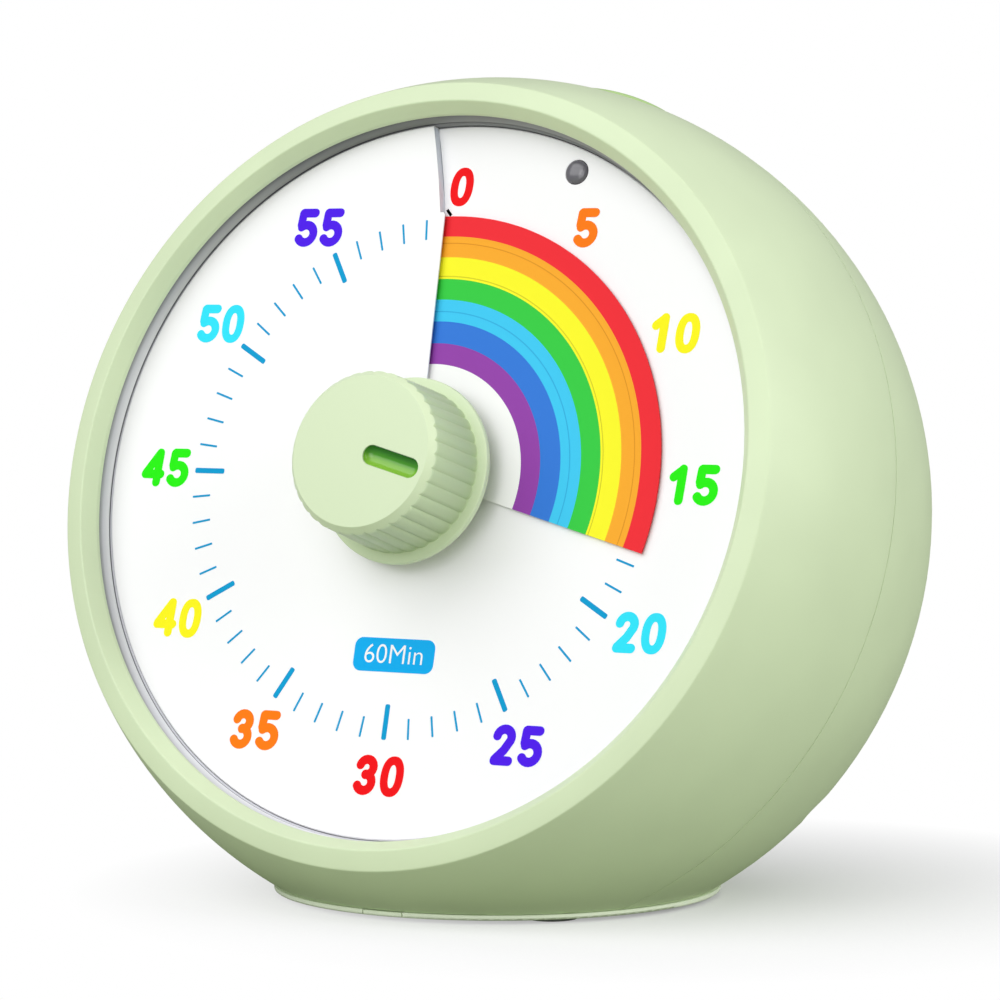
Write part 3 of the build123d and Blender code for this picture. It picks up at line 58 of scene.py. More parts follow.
# %% Find the dial's own axis
joints = {joint["name"]: joint for joint in frame["joints"]}
FORWARD = -Vector(joints["knob_turn"]["axis"])
LEAN = atan2(FORWARD.z, -FORWARD.y)
dial_foot = Vector(joints["knob_turn"]["pos_m"])
DIAL_LEVEL = -dial_foot.y / cos(LEAN) / MM
CENTRE = dial_foot - DIAL_LEVEL * MM * FORWARD
LEANED = Matrix.Translation(CENTRE) @ Matrix.Rotation(pi / 2 - LEAN, 4, "X")
print("the dial leans back", round(degrees(LEAN), 2), "degrees; the ball's centre is at", CENTRE)

# %% [markdown]
# The camera stands a little to the right and looks almost level, through a long lens. The target is a point
# close to the ball's centre, and the camera's distance and turn are measured from there.

# %% Camera
scene = bpy.context.scene
AIM = CENTRE + Vector((0.23, 0.24, 1.5)) * MM
VIEW_AZIMUTH = radians(29.64)
VIEW_ELEVATION = radians(3.023)
VIEW_DISTANCE = 0.5246
LENS = 148.4
SENSOR = 36
to_camera = Vector((sin(VIEW_AZIMUTH), -cos(VIEW_AZIMUTH), tan(VIEW_ELEVATION))).normalized()
bpy.ops.object.camera_add(location=AIM + VIEW_DISTANCE * to_camera)
camera = bpy.context.active_object
camera.rotation_euler = to_camera.to_track_quat("Z", "Y").to_euler()
camera.data.lens = LENS
camera.data.sensor_width = SENSOR
scene.camera = camera
print("camera at", [round(value, 4) for value in camera.location])

# %% [markdown]
# Light comes from large soft lamps, as in a small studio: the main one high on the left, one that fills the
# right side, and a weak one next to the camera. A small lamp would draw hard shadows and leave a spot on
# satin plastic, where a large one leaves a broad sheen.

# %% Lamps
scene.view_settings.view_transform = "Standard"
LAMP_DISTANCE = 1.8


def softbox(name, direction, size, power):
    """A square lamp that looks at the ball from a direction, with its side in m and its power in W."""
    place = CENTRE + Vector(direction).normalized() * LAMP_DISTANCE
    bpy.ops.object.light_add(type="AREA", location=place)
    lamp = bpy.context.active_object
    lamp.name = name
    lamp.rotation_euler = (place - CENTRE).to_track_quat("Z", "Y").to_euler()
    lamp.data.shape = "SQUARE"
    lamp.data.size = size
    lamp.data.energy = power
    print(name, "of", power, "W at", [round(value, 2) for value in place])


softbox("lamp_left", (-0.4, -0.85, 0.8), size=1.8, power=21.5)
softbox("lamp_right", (1.0, 0.1, 0.4), size=1.2, power=20.0)
softbox("lamp_front", (0.2, -1.0, 0.3), size=1.2, power=10.0)

# %% [markdown]
# The world sends a faint, nearly even light into the shadows. To the camera alone it is plain white: a
# Light Path node tells the camera's rays from those that carry light, and so chooses between two colours.

# %% World
AMBIENT_COLOR = (0.96, 0.97, 1.0, 1)
AMBIENT_STRENGTH = 0.26
world = bpy.data.worlds.new("studio")
scene.world = world
world.use_nodes = True
nodes, links = world.node_tree.nodes, world.node_tree.links
ambient = nodes["Background"]
ambient.inputs["Color"].default_value = AMBIENT_COLOR
ambient.inputs["Strength"].default_value = AMBIENT_STRENGTH
seen = nodes.new("ShaderNodeBackground")
seen.inputs["Color"].default_value = (1, 1, 1, 1)
rays = nodes.new("ShaderNodeLightPath")
chooser = nodes.new("ShaderNodeMixShader")
links.new(rays.outputs["Is Camera Ray"], chooser.inputs["Fac"])
links.new(ambient.outputs["Background"], chooser.inputs[1])
links.new(seen.outputs["Background"], chooser.inputs[2])
links.new(chooser.outputs["Shader"], nodes["World Output"].inputs["Surface"])
print("the world lights with a strength of", AMBIENT_STRENGTH, "and looks white")

# %% [markdown]
# The floor shows the timer's soft shadow. Away from the timer it fades into plain white, which the camera
# alone sees: the fade is mixed by the distance from the timer, and an emission of strength 1 is white. The
# floor throws a muted green back at the timer, like the light between the two.

# %% Floor
FLOOR_SIZE = 6.0
FLOOR_NEAR = 0.01
FLOOR_FAR = 0.074
SHADOW_MIDDLE = (0.015, 0.012, 0)
SHADOW_WHITE = 0.15  # how much white lies over the shadow next to the timer
FLOOR_BOUNCE = (0.32, 0.36, 0.25, 1)
FLOOR_SEEN = (0.9, 0.9, 0.92, 1)
bpy.ops.object.select_all(action="DESELECT")
bpy.ops.mesh.primitive_plane_add(size=FLOOR_SIZE)
floor = bpy.context.active_object
floor.name = "floor"
floor_paint = bpy.data.materials.new("floor_white")
floor_paint.use_nodes = True
nodes, links = floor_paint.node_tree.nodes, floor_paint.node_tree.links
paint = nodes["Principled BSDF"]
paint.inputs["Roughness"].default_value = 0.8
paint.inputs["Specular IOR Level"].default_value = 0.1
glow = nodes.new("ShaderNodeEmission")
rays = nodes.new("ShaderNodeLightPath")
shown = nodes.new("ShaderNodeMixRGB")
shown.inputs["Color1"].default_value = FLOOR_BOUNCE
shown.inputs["Color2"].default_value = FLOOR_SEEN
place = nodes.new("ShaderNodeTexCoord")
distance = nodes.new("ShaderNodeVectorMath")
distance.operation = "DISTANCE"
distance.inputs[1].default_value = SHADOW_MIDDLE
fade = nodes.new("ShaderNodeMapRange")
fade.inputs["From Min"].default_value = FLOOR_NEAR
fade.inputs["From Max"].default_value = FLOOR_FAR
fade.inputs["To Min"].default_value = SHADOW_WHITE
seen_fade = nodes.new("ShaderNodeMath")
seen_fade.operation = "MULTIPLY"
mix = nodes.new("ShaderNodeMixShader")
links.new(rays.outputs["Is Camera Ray"], shown.inputs["Fac"])
links.new(shown.outputs["Color"], paint.inputs["Base Color"])
links.new(place.outputs["Object"], distance.inputs[0])
links.new(distance.outputs["Value"], fade.inputs["Value"])
links.new(fade.outputs["Result"], seen_fade.inputs[0])
links.new(rays.outputs["Is Camera Ray"], seen_fade.inputs[1])
links.new(seen_fade.outputs["Value"], mix.inputs["Fac"])
links.new(paint.outputs["BSDF"], mix.inputs[1])
links.new(glow.outputs["Emission"], mix.inputs[2])
links.new(mix.outputs["Shader"], nodes["Material Output"].inputs["Surface"])
floor.data.materials.append(floor_paint)
print("the floor fades to white between", FLOOR_NEAR, "and", FLOOR_FAR, "m")

# %% [markdown]
# ## Finishes
# Moulded plastic is never quite even: the tool is spark-eroded, which leaves a very fine grain, and the
# colour drifts a little. So each plastic gets a small bump from fine noise and a slow, faint change of
# colour from broad noise. Both read Object coordinates, which stay with the piece as it moves.

# %% Plastics and metals
DRIFT_SCALE = 60  # patches of like colour are about 1/60 m across


def tint(red, green, blue):
    """A colour as a picture editor gives it, from 0 to 255, in the linear values that Blender mixes."""
    return [((value / 255 + 0.055) / 1.055) ** 2.4 if value > 10 else value / 255 / 12.92
            for value in (red, green, blue)] + [1]


def new_finish(name, roughness, specular):
    """A material, its nodes and links, and its shader with these two values."""
    material = bpy.data.materials.new(name)
    material.use_nodes = True
    nodes = material.node_tree.nodes
    shader = nodes["Principled BSDF"]
    shader.inputs["Roughness"].default_value = roughness
    shader.inputs["Specular IOR Level"].default_value = specular
    return material, nodes, material.node_tree.links, shader


def add_grain(nodes, links, shader, coordinates, size, depth):
    """A fine bump on the shader, of grains of the given size and depth in mm."""
    grain = nodes.new("ShaderNodeTexNoise")
    grain.inputs["Scale"].default_value = 1 / (size * MM)
    grain.inputs["Detail"].default_value = 3
    bump = nodes.new("ShaderNodeBump")
    bump.inputs["Distance"].default_value = depth * MM
    bump.inputs["Strength"].default_value = 1.0
    links.new(coordinates, grain.inputs["Vector"])
    links.new(grain.outputs["Fac"], bump.inputs["Height"])
    links.new(bump.outputs["Normal"], shader.inputs["Normal"])


def plastic(name, color, roughness, grain=0.25, depth=0.006, drift=0.03, specular=0.4):
    """Moulded plastic of one colour, with fine grain and a faint drift of the colour."""
    material, nodes, links, shader = new_finish(name, roughness, specular)
    place = nodes.new("ShaderNodeTexCoord")
    broad = nodes.new("ShaderNodeTexNoise")
    broad.inputs["Scale"].default_value = DRIFT_SCALE
    ramp = nodes.new("ShaderNodeValToRGB")
    base = tint(*color)[:3]
    darker, lighter = ramp.color_ramp.elements
    darker.position = 0.3
    darker.color = [value * (1 - drift) for value in base] + [1]
    lighter.position = 0.7
    lighter.color = [min(1, value * (1 + drift)) for value in base] + [1]
    links.new(place.outputs["Object"], broad.inputs["Vector"])
    links.new(broad.outputs["Fac"], ramp.inputs["Fac"])
    links.new(ramp.outputs["Color"], shader.inputs["Base Color"])
    add_grain(nodes, links, shader, place.outputs["Object"], grain, depth)
    return material


def metal(name, color, roughness, grain=0.3, depth=0.002):
    """Bare metal with fine tool marks."""
    material = plastic(name, color, roughness, grain, depth, drift=0.05)
    material.node_tree.nodes["Principled BSDF"].inputs["Metallic"].default_value = 1.0
    return material


# %% [markdown]
# The inside is seen only when the model is taken apart, but every piece there keeps its own stuff too:
# nylon wheels, a brass bush, a copper coil, steel screws and springs, green boards and black components.
# The keys are the CAD model's own slots.

# %% Finish of each CAD piece
dial_white = plastic("dial_white", (252, 251, 254), 0.38, grain=0.6, depth=0.002, drift=0.003)
finishes = {
    "body_green": plastic("body_green", (216, 231, 194), 0.46),
    "base_green": plastic("base_green", (234, 244, 220), 0.5),
    "dial_white": dial_white,
    "rainbow_sheet": dial_white,
    "surround_white": plastic("surround_grey", (232, 232, 238), 0.35, depth=0.003, drift=0.01),
    "pointer_green": plastic("pointer_green", (92, 166, 52), 0.12, grain=1.5, depth=0.002, specular=0.5),
    "lamp_tint": plastic("lamp_smoke", (104, 102, 110), 0.18, grain=2.0, depth=0.002, specular=0.7),
    "rubber_grey": plastic("rubber_grey", (120, 124, 120), 0.8, depth=0.012),
    "chassis_white": plastic("chassis_white", (225, 226, 223), 0.5),
    "gear_nylon": plastic("gear_nylon", (238, 234, 218), 0.45, depth=0.003),
    "magnet_dark": plastic("magnet_dark", (52, 52, 56), 0.4),
    "board_green": plastic("board_green", (28, 96, 54), 0.35, grain=0.5, drift=0.12),
    "black_plastic": plastic("black_plastic", (24, 24, 26), 0.45, depth=0.01),
    "slider_white": plastic("slider_white", (236, 238, 232), 0.4),
    "cell_sleeve": plastic("cell_sleeve", (192, 196, 202), 0.25, grain=2.0, depth=0.003),
    "spring_steel": metal("spring_steel", (200, 200, 204), 0.25),
    "screw_steel": metal("screw_steel", (176, 176, 182), 0.35),
    "stator_steel": metal("stator_steel", (160, 160, 164), 0.42),
    "brass": metal("brass", (214, 178, 98), 0.28),
    "copper_wire": metal("copper_wire", (196, 112, 66), 0.34, grain=0.12, depth=0.02),
}
for subpart in frame["record"]["subparts"]:
    node = frame["nodes"][subpart["node"]]
    node.data.materials.clear()
    node.data.materials.append(finishes[subpart["material_slot"]])
print(len(frame["nodes"]), "CAD pieces share", len(finishes), "finishes")

# %% [markdown]
# ## Helpers for modelling
# An operator acts on whatever is selected, so each step first clears the selection. A piece that is done is
# moved to its place on the timer, and that move is applied, so that its object ends at the origin.

# %% Select, edit and place
DOUBLES = 2e-6  # points closer than this, in m, are merged


def only(piece):
    """Selects one piece and nothing else."""
    bpy.ops.object.select_all(action="DESELECT")
    piece.select_set(True)
    bpy.context.view_layer.objects.active = piece


def edit(piece, action="SELECT"):
    """Opens a piece in edit mode, with all or nothing selected."""
    only(piece)
    bpy.ops.object.mode_set(mode="EDIT")
    bpy.ops.mesh.select_mode(type="VERT")
    bpy.ops.mesh.select_all(action=action)


def select_points(piece, wanted):
    """Opens a piece in edit mode, with the points selected that a test says."""
    edit(piece, "DESELECT")
    mesh = bmesh.from_edit_mesh(piece.data)
    for vertex in mesh.verts:
        vertex.select_set(wanted(vertex))
    bmesh.update_edit_mesh(piece.data)


def tidy(piece, crease=30):
    """Merges doubles, points the faces outwards and shades smooth up to a crease angle in degrees."""
    edit(piece)
    bpy.ops.mesh.remove_doubles(threshold=DOUBLES)
    bpy.ops.mesh.select_all(action="SELECT")
    bpy.ops.mesh.normals_make_consistent(inside=False)
    bpy.ops.object.mode_set(mode="OBJECT")
    bpy.ops.object.shade_smooth_by_angle(angle=radians(crease))
    return piece


def at(x, y, z=0):
    """The move to a place given in mm."""
    return Matrix.Translation((x * MM, y * MM, z * MM))


def settle(piece, where=LEANED):
    """Moves a piece to its place on the timer and applies the move."""
    only(piece)
    piece.matrix_world = where @ piece.matrix_world
    bpy.context.view_layer.update()
    bpy.ops.object.transform_apply(location=True, rotation=True, scale=True)
    return piece


def name_new(name):
    """Names the object that an operator has just added."""
    piece = bpy.context.active_object
    piece.name = piece.data.name = name
    return piece


def twin(piece):
    """A copy of a piece, with its own mesh."""
    copy = piece.copy()
    copy.data = piece.data.copy()
    scene.collection.objects.link(copy)
    return copy


def join_all(pieces, name):
    """Makes several pieces one object, without changing their meshes."""
    only(pieces[0])
    for piece in pieces:
        piece.select_set(True)
    if len(pieces) > 1:
        bpy.ops.object.join()
    return name_new(name)


def dress(piece, material, body, *nodes):
    """Gives a finished piece its material, its body and the CAD nodes that it stands for."""
    piece.data.materials.clear()
    piece.data.materials.append(material)
    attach(piece, body)
    if nodes:
        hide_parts(*nodes)
    print(piece.name, "has", len(piece.data.polygons), "faces")


# %% [markdown]
# A lathe turns an outline about an axis. The outline is drawn as one point that is extruded from corner to
# corner, and the spin operator carries it round. Real edges are never sharp, so a helper first replaces
# each corner of an outline by a small arc that is tangent to both of its sides.

# %% Outlines and the lathe


def arc(middle, radius, start, end, steps):
    """Points along an arc, from one angle to another in degrees."""
    turns = [radians(start + (end - start) * step / steps) for step in range(steps + 1)]
    return [(middle[0] + radius * cos(turn), middle[1] + radius * sin(turn)) for turn in turns]


def rounded(points, radii, steps=4):
    """The same outline, its corners replaced by arcs. A radius of 0 keeps the corner."""
    made = []
    for index, (corner, radius) in enumerate(zip(points, radii)):
        corner = Vector(corner)
        if not radius:
            made.append(tuple(corner))
            continue
        back = (Vector(points[index - 1]) - corner).normalized()
        ahead = (Vector(points[(index + 1) % len(points)]) - corner).normalized()
        half = back.angle(ahead) / 2
        middle = corner + (back + ahead).normalized() * radius / sin(half)
        start = corner + back * radius / tan(half) - middle
        end = corner + ahead * radius / tan(half) - middle
        sweep = pi - 2 * half
        for step in range(steps + 1):
            share = step / steps
            spoke = (start * sin((1 - share) * sweep) + end * sin(share * sweep)) / sin(sweep)
            made.append(tuple(middle + spoke))
    return made


def draw(name, points):
    """Draws a line through points in the XZ plane, given in mm, by extruding one vertex."""
    bpy.ops.object.select_all(action="DESELECT")
    bpy.ops.mesh.primitive_plane_add(size=MM)
    piece = name_new(name)
    edit(piece)
    bpy.ops.mesh.merge(type="CENTER")
    bpy.ops.transform.translate(value=(points[0][0] * MM, 0, points[0][1] * MM))
    for (x, z), (next_x, next_z) in zip(points, points[1:]):
        step = ((next_x - x) * MM, 0, (next_z - z) * MM)
        bpy.ops.mesh.extrude_vertices_move(TRANSFORM_OT_translate={"value": step})
    bpy.ops.object.mode_set(mode="OBJECT")
    return piece


def lathe(name, points, steps=160):
    """Turns an outline about Z. The outline is closed by itself or by the axis."""
    piece = draw(name, points)
    edit(piece)
    bpy.ops.mesh.spin(steps=steps, angle=2 * pi, center=(0, 0, 0), axis=(0, 0, 1))
    bpy.ops.object.mode_set(mode="OBJECT")
    return tidy(piece)


# %% [markdown]
# Blocks and rods are the tools that cut a piece or are joined to it. A boolean modifier does both, and it
# is applied at once. The exact solver is slower than the others, and copes with faces that touch.

# %% Blocks, rods and booleans


def block(name, low, high):
    """A box between two corners, in mm."""
    bpy.ops.object.select_all(action="DESELECT")
    bpy.ops.mesh.primitive_cube_add(size=1)
    piece = name_new(name)
    low, high = Vector(low) * MM, Vector(high) * MM
    piece.matrix_world = Matrix.Translation((low + high) / 2) @ Matrix.Diagonal((*(high - low), 1))
    bpy.context.view_layer.update()
    bpy.ops.object.transform_apply(location=True, rotation=True, scale=True)
    return piece


def rod(name, radius, low, high, place=(0, 0), sides=48):
    """A cylinder between two levels."""
    bpy.ops.object.select_all(action="DESELECT")
    bpy.ops.mesh.primitive_cylinder_add(
        vertices=sides, radius=radius * MM, depth=(high - low) * MM,
        location=(place[0] * MM, place[1] * MM, (low + high) / 2 * MM),
    )
    only(bpy.context.active_object)
    bpy.ops.object.transform_apply(location=True, rotation=True, scale=True)
    return name_new(name)


def combine(piece, tool, operation="DIFFERENCE"):
    """Cuts one closed shape from another, joins them, or keeps what they share, and removes the tool."""
    only(piece)
    modifier = piece.modifiers.new(operation.lower(), "BOOLEAN")
    modifier.object = tool
    modifier.operation = operation
    modifier.solver = "EXACT"
    bpy.ops.object.modifier_apply(modifier=modifier.name)
    bpy.data.objects.remove(tool)


# %% [markdown]
# ## The front shell
# The body is a ball moulded in two halves. The front half ends in a flat ring round the dial, whose inner
# edge slopes down to a narrow lip. All of it is round about the dial's axis, so one closed outline, with the
# inner wall in it, makes the whole shell on the lathe. The small radii on its edges catch the light. Last, a
# block takes away what would stand below the base.

# %% Front shell
RING_LEVEL = 24.2
RING_R = 49.4
RING_IN_R = 46.9
RING_IN_LEVEL = 24.9
LIP_R = 45.6
LIP_LEVEL = 23.2
LIP_UNDER = 22.6
WALL = 2.0
BODY_R = hypot(RING_R, RING_LEVEL)
INNER_R = BODY_R - WALL
SEAM = 0.18  # rounding of the edges where the two halves meet
EDGE_TURN = 0.4  # degrees that the outer arc leaves free for the rounding at its two ends
BASE_CUT = 1.2

ring_edge = degrees(atan2(RING_LEVEL, RING_R))
inner_edge = degrees(asin(LIP_UNDER / INNER_R))
outline = arc((0, 0), BODY_R, EDGE_TURN, ring_edge - EDGE_TURN, 26)
outline += rounded(
    [outline[-1], (RING_R, RING_LEVEL), (RING_IN_R, RING_IN_LEVEL), (LIP_R, LIP_LEVEL), (LIP_R, LIP_UNDER),
     (50, LIP_UNDER)],
    [0, 0.35, 0.3, 0.15, 0, 0],
)[1:-1]
outline += arc((0, 0), INNER_R, inner_edge, 0, 24)
outline += [(BODY_R - SEAM, 0), (BODY_R - SEAM / 4, SEAM / 4), outline[0]]
front = settle(lathe("front_case", outline, steps=256))
combine(front, block("below", (-80, -80, -60), (80, 80, BASE_CUT)))
tidy(front)
dress(front, finishes["body_green"], "housing", "front_shell")

# %% [markdown]
# ## The surround
# A plain ring fills the depth between the lip and the dial. Its wall slants inwards to a narrow ledge, and
# it starts behind the lip, so that the lip's shadow falls on it.

# %% Surround
CHASSIS_FRONT = 16.0
SURROUND_R = 46.6
DIAL_R = 45.1
FIT = 0.1
TOUCH = 0.05  # keeps faces that meet just apart
LEDGE_R = 45.4
LEDGE_LEVEL = DIAL_LEVEL + 0.75
LEDGE_RISE = 0.25
WALL_TOP_R = 46.3
surround_outline = rounded(
    [(DIAL_R + FIT, CHASSIS_FRONT + TOUCH), (DIAL_R + FIT, LEDGE_LEVEL - FIT), (LEDGE_R, LEDGE_LEVEL),
     (LEDGE_R, LEDGE_LEVEL + LEDGE_RISE), (WALL_TOP_R, LIP_UNDER - TOUCH), (SURROUND_R, LIP_UNDER - TOUCH),
     (SURROUND_R, CHASSIS_FRONT + TOUCH)],
    [0, 0.08, 0.04, 0.1, 0.05, 0, 0],
)
surround = settle(lathe("dial_wall", surround_outline + surround_outline[:1], steps=256))

# %% [markdown]
# Several finishes here change along one direction of the upright frame. A Mapping node turns the Object
# coordinates into that frame, one part of the result is scaled to a share from 0 to 1, and a colour ramp
# reads the share.

# %% Ramps in the upright frame


def upright_place(nodes, links):
    """Object coordinates, as they are and turned into the dial's upright frame."""
    place = nodes.new("ShaderNodeTexCoord")
    upright = nodes.new("ShaderNodeMapping")
    upright.vector_type = "TEXTURE"
    upright.inputs["Location"].default_value = CENTRE
    upright.inputs["Rotation"].default_value = LEANED.to_euler()
    links.new(place.outputs["Object"], upright.inputs["Vector"])
    return place.outputs["Object"], upright.outputs["Vector"]


def share_along(nodes, links, vector, axis, span):
    """A node that says how far a place lies along an axis within a span in mm, from 0 to 1."""
    parts = nodes.new("ShaderNodeSeparateXYZ")
    share = nodes.new("ShaderNodeMapRange")
    share.inputs["From Min"].default_value = span[0] * MM
    share.inputs["From Max"].default_value = span[1] * MM
    links.new(vector, parts.inputs["Vector"])
    links.new(parts.outputs[axis], share.inputs["Value"])
    return share


def color_ramp(nodes, links, share, stops, interpolation="LINEAR"):
    """The colour of a ramp that reads a share. Each stop is a share and a colour from 0 to 255."""
    ramp = nodes.new("ShaderNodeValToRGB")
    ramp.color_ramp.interpolation = interpolation
    while len(ramp.color_ramp.elements) < len(stops):
        ramp.color_ramp.elements.new(1.0)
    for element, (position, color) in zip(ramp.color_ramp.elements, stops):
        element.position = position
        element.color = tint(*color)
    links.new(share, ramp.inputs["Fac"])
    return ramp.outputs["Color"]


# %% [markdown]
# The wall's colour is painted shade: nearly black where it comes out from under the lip, pale above the ledge,
# with a dark line at the ledge's own little riser. A second share, up the dial, paints it darker towards 12.

# %% Finish of the surround
# Painted shade: the ramp is dark under the lip and on the ledge's riser, pale between.
TRIM_PAINTED_SHADE = [  # share of the way from the ledge up to the lip, and colour
    (0.0, (214, 214, 222)),
    (0.03, (104, 104, 112)),
    (0.10, (112, 112, 120)),
    (0.14, (240, 240, 244)),
    (0.50, (214, 214, 222)),
    (0.80, (128, 128, 138)),
    (1.0, (74, 74, 82)),
]
PAINTED_SHADE_SPAN = (15, 42)
PAINTED_SHADE_DARKEST = 0.42


def trim_painted_shade_finish():
    """Grey plastic with painted shade, dark under the lip and on the ledge's riser, and darker towards the dial's
    top.
    """
    material, nodes, links, shader = new_finish("surround_painted_shade", 0.3, 0.35)
    spot, upright = upright_place(nodes, links)
    level = share_along(nodes, links, upright, "Z", (LEDGE_LEVEL, LIP_UNDER))
    color = color_ramp(nodes, links, level.outputs["Result"], TRIM_PAINTED_SHADE)
    # Painted shade: this share makes the whole wall darker towards the dial's top.
    high = share_along(nodes, links, upright, "Y", PAINTED_SHADE_SPAN)
    high.inputs["To Min"].default_value = 1.0
    high.inputs["To Max"].default_value = PAINTED_SHADE_DARKEST
    top_shade = nodes.new("ShaderNodeVectorMath")
    top_shade.operation = "SCALE"
    links.new(color, top_shade.inputs[0])
    links.new(high.outputs["Result"], top_shade.inputs["Scale"])
    links.new(top_shade.outputs["Vector"], shader.inputs["Base Color"])
    add_grain(nodes, links, shader, spot, 0.25, 0.003)
    return material


dress(surround, trim_painted_shade_finish(), "housing", "dial_surround")

# %% [markdown]
# ## The dial
# The dial is one turn of a very flat screw: it rises by 1.3 mm on its way round, so that a slit at 12
# o'clock lets the disc slip under it. It is made as its cross-section, spun by one turn, and each point is
# then raised by its angle. Outside the disc the step leans back a little, which is a turn that grows with
# the radius. The two ends of the turn are first cut into triangles, which stay flat when they are bent.
# Without a window, both the rotate and the spin operator turn clockwise as seen from the axis's end.

# %% The dial's screw
PITCH = 1.3
SLIT_ANGLE = -2.8
STEP_SLANT = 2.9
DISC_ROOM_R = 33.7
TURN_STEPS = 240
STEP_GAP = 0.02  # degrees between the two ends of the turn
NOISE = STEP_GAP / 4


def clockwise(x, y):
    """Degrees round the dial from 12 o'clock."""
    return degrees(atan2(x, y))


def step_slant(radius):
    """How far the step has turned back at a radius, in degrees."""
    return max(0, radius - DISC_ROOM_R) / (DIAL_R + 1 - DISC_ROOM_R) * STEP_SLANT


def ramp_level(x, y):
    """The dial's level at a place on it, in mm."""
    return DIAL_LEVEL + PITCH * ((clockwise(x, y) - SLIT_ANGLE + step_slant(hypot(x, y))) % 360) / 360


def spin_up(name, section, start, sweep, foot, steps=TURN_STEPS):
    """Spins a cross-section clockwise from an angle, and raises each point by its angle along the screw."""
    piece = draw(name, section)
    edit(piece)
    bpy.ops.mesh.edge_face_add()
    bpy.ops.transform.rotate(value=radians(start - 90), orient_axis="Z", center_override=(0, 0, 0))
    bpy.ops.mesh.spin(steps=steps, angle=radians(sweep), center=(0, 0, 0), axis=(0, 0, 1))
    bpy.ops.object.mode_set(mode="OBJECT")
    for vertex in piece.data.vertices:
        turned = (clockwise(vertex.co.x, vertex.co.y) - start + NOISE) % 360 - NOISE
        vertex.co.z += (foot + PITCH * turned / 360) * MM
    return piece


# %% Dial
RIM_T = 2.4
RIM_EDGE = 0.15
SHEET_T = 0.2
HOLE_R = 5.8
LED_R = 1.5
LED_PLACE = Vector((16.35, 38.90))
CUT_FOOT, CUT_TOP = 10, 30  # levels well below and above the dial

dial_section = [
    (HOLE_R, 0), (DISC_ROOM_R, 0), (38, 0), (42, 0), (DIAL_R - RIM_EDGE, 0), (DIAL_R, -RIM_EDGE),
    (DIAL_R, -RIM_T), (DISC_ROOM_R, -RIM_T), (DISC_ROOM_R, -SHEET_T), (HOLE_R, -SHEET_T),
]
dial = spin_up("dial_face", dial_section, SLIT_ANGLE, 360 - STEP_GAP, DIAL_LEVEL)
edit(dial, "DESELECT")
bpy.ops.mesh.select_mode(type="FACE")
bpy.ops.mesh.select_face_by_sides(number=4, type="GREATER")
bpy.ops.mesh.quads_convert_to_tris()
bpy.ops.object.mode_set(mode="OBJECT")
for vertex in dial.data.vertices:
    slant = step_slant(hypot(vertex.co.x, vertex.co.y) / MM)
    vertex.co.rotate(Euler((0, 0, radians(slant))))
tidy(dial)
combine(dial, rod("lamp_hole", LED_R + FIT, CUT_FOOT, CUT_TOP, LED_PLACE))

# %% [markdown]
# At the slit the thin sheet reaches a little further than the step, like a lip, and covers the gap that the
# disc slips through. At the lip's outer corner the moulding leaves a small dark notch.

# %% Lip over the slit, and its notch
LIP_SWEEP = 1.15
LIP_ROOT = 0.6
SKIN = 0.005  # keeps the lip's faces just inside those of the sheet that it is joined to
NOTCH_MIDDLE = (-1.14, 33.92)
NOTCH_TURN = -48
NOTCH_HALF = (0.52, 0.2)

lip_section = [
    (HOLE_R + TOUCH, -SKIN), (DISC_ROOM_R - TOUCH, -SKIN),
    (DISC_ROOM_R - TOUCH, SKIN - SHEET_T), (HOLE_R + TOUCH, SKIN - SHEET_T),
]
lip_foot = DIAL_LEVEL + PITCH * (360 - LIP_ROOT) / 360
lip = spin_up("slit_lip", lip_section, SLIT_ANGLE - LIP_ROOT, LIP_ROOT + LIP_SWEEP, lip_foot, steps=4)
combine(dial, tidy(lip), "UNION")
notch = block("notch", (-NOTCH_HALF[0], -NOTCH_HALF[1], CUT_FOOT), (*NOTCH_HALF, CUT_TOP))
settle(notch, at(*NOTCH_MIDDLE) @ Matrix.Rotation(radians(NOTCH_TURN), 4, "Z"))
combine(dial, notch)
tidy(dial)

# %% [markdown]
# The step's wall takes a grey a little darker than the printed face, as painted shade, and the notch's walls
# take black, painted shade for the dark inside that it opens into. A piece may have several materials: each
# face says which one it takes, and these faces are found by their place and by their normal, which lies flat
# in the dial's plane on a wall.

# %% Finish of the dial
STEP_WALL, NOTCH_WALL = 1, 2  # material slots, after slot 0 for the printed face
WALL_TILT = 0.3  # the most of a wall's normal that may point along the axis
NOTCH_REACH, NOTCH_OUT_R = 0.8, 35
STEP_REACH, STEP_CLEAR = 1.5, 0.08  # degrees
walls = {}
for face in dial.data.polygons:
    x, y = face.center.x / MM, face.center.y / MM
    radius = hypot(x, y)
    off_step = abs(clockwise(x, y) - SLIT_ANGLE + step_slant(radius))
    off_notch = hypot(x - NOTCH_MIDDLE[0], y - NOTCH_MIDDLE[1])
    if abs(face.normal.z) > WALL_TILT or y < 0:
        continue
    if off_notch < NOTCH_REACH and radius < NOTCH_OUT_R and off_step > STEP_CLEAR:
        walls[face.index] = NOTCH_WALL
    elif off_step < STEP_REACH and HOLE_R + 1 < radius < DIAL_R - 0.3:
        walls[face.index] = STEP_WALL
dress(settle(dial), dial_white, "housing", "dial_plate")
# Painted shade: the step's wall takes a grey that is darker than the printed face.
dial.data.materials.append(plastic("step_painted_shade", (222, 228, 240), 0.5))
# Painted shade: the notch's walls take black plastic, for the dark inside.
dial.data.materials.append(finishes["black_plastic"])
for index, wall in walls.items():
    dial.data.polygons[index].material_index = wall
print(len(walls), "faces of the dial are walls of the step or the notch")

# %% [markdown]
# ## The disc
# The disc is a thin sheet that follows the same screw as the dial, a little above it, and leaves through the
# slit. It ends at the set time, where the knob's pointer stands: the knob can turn back by just that angle.

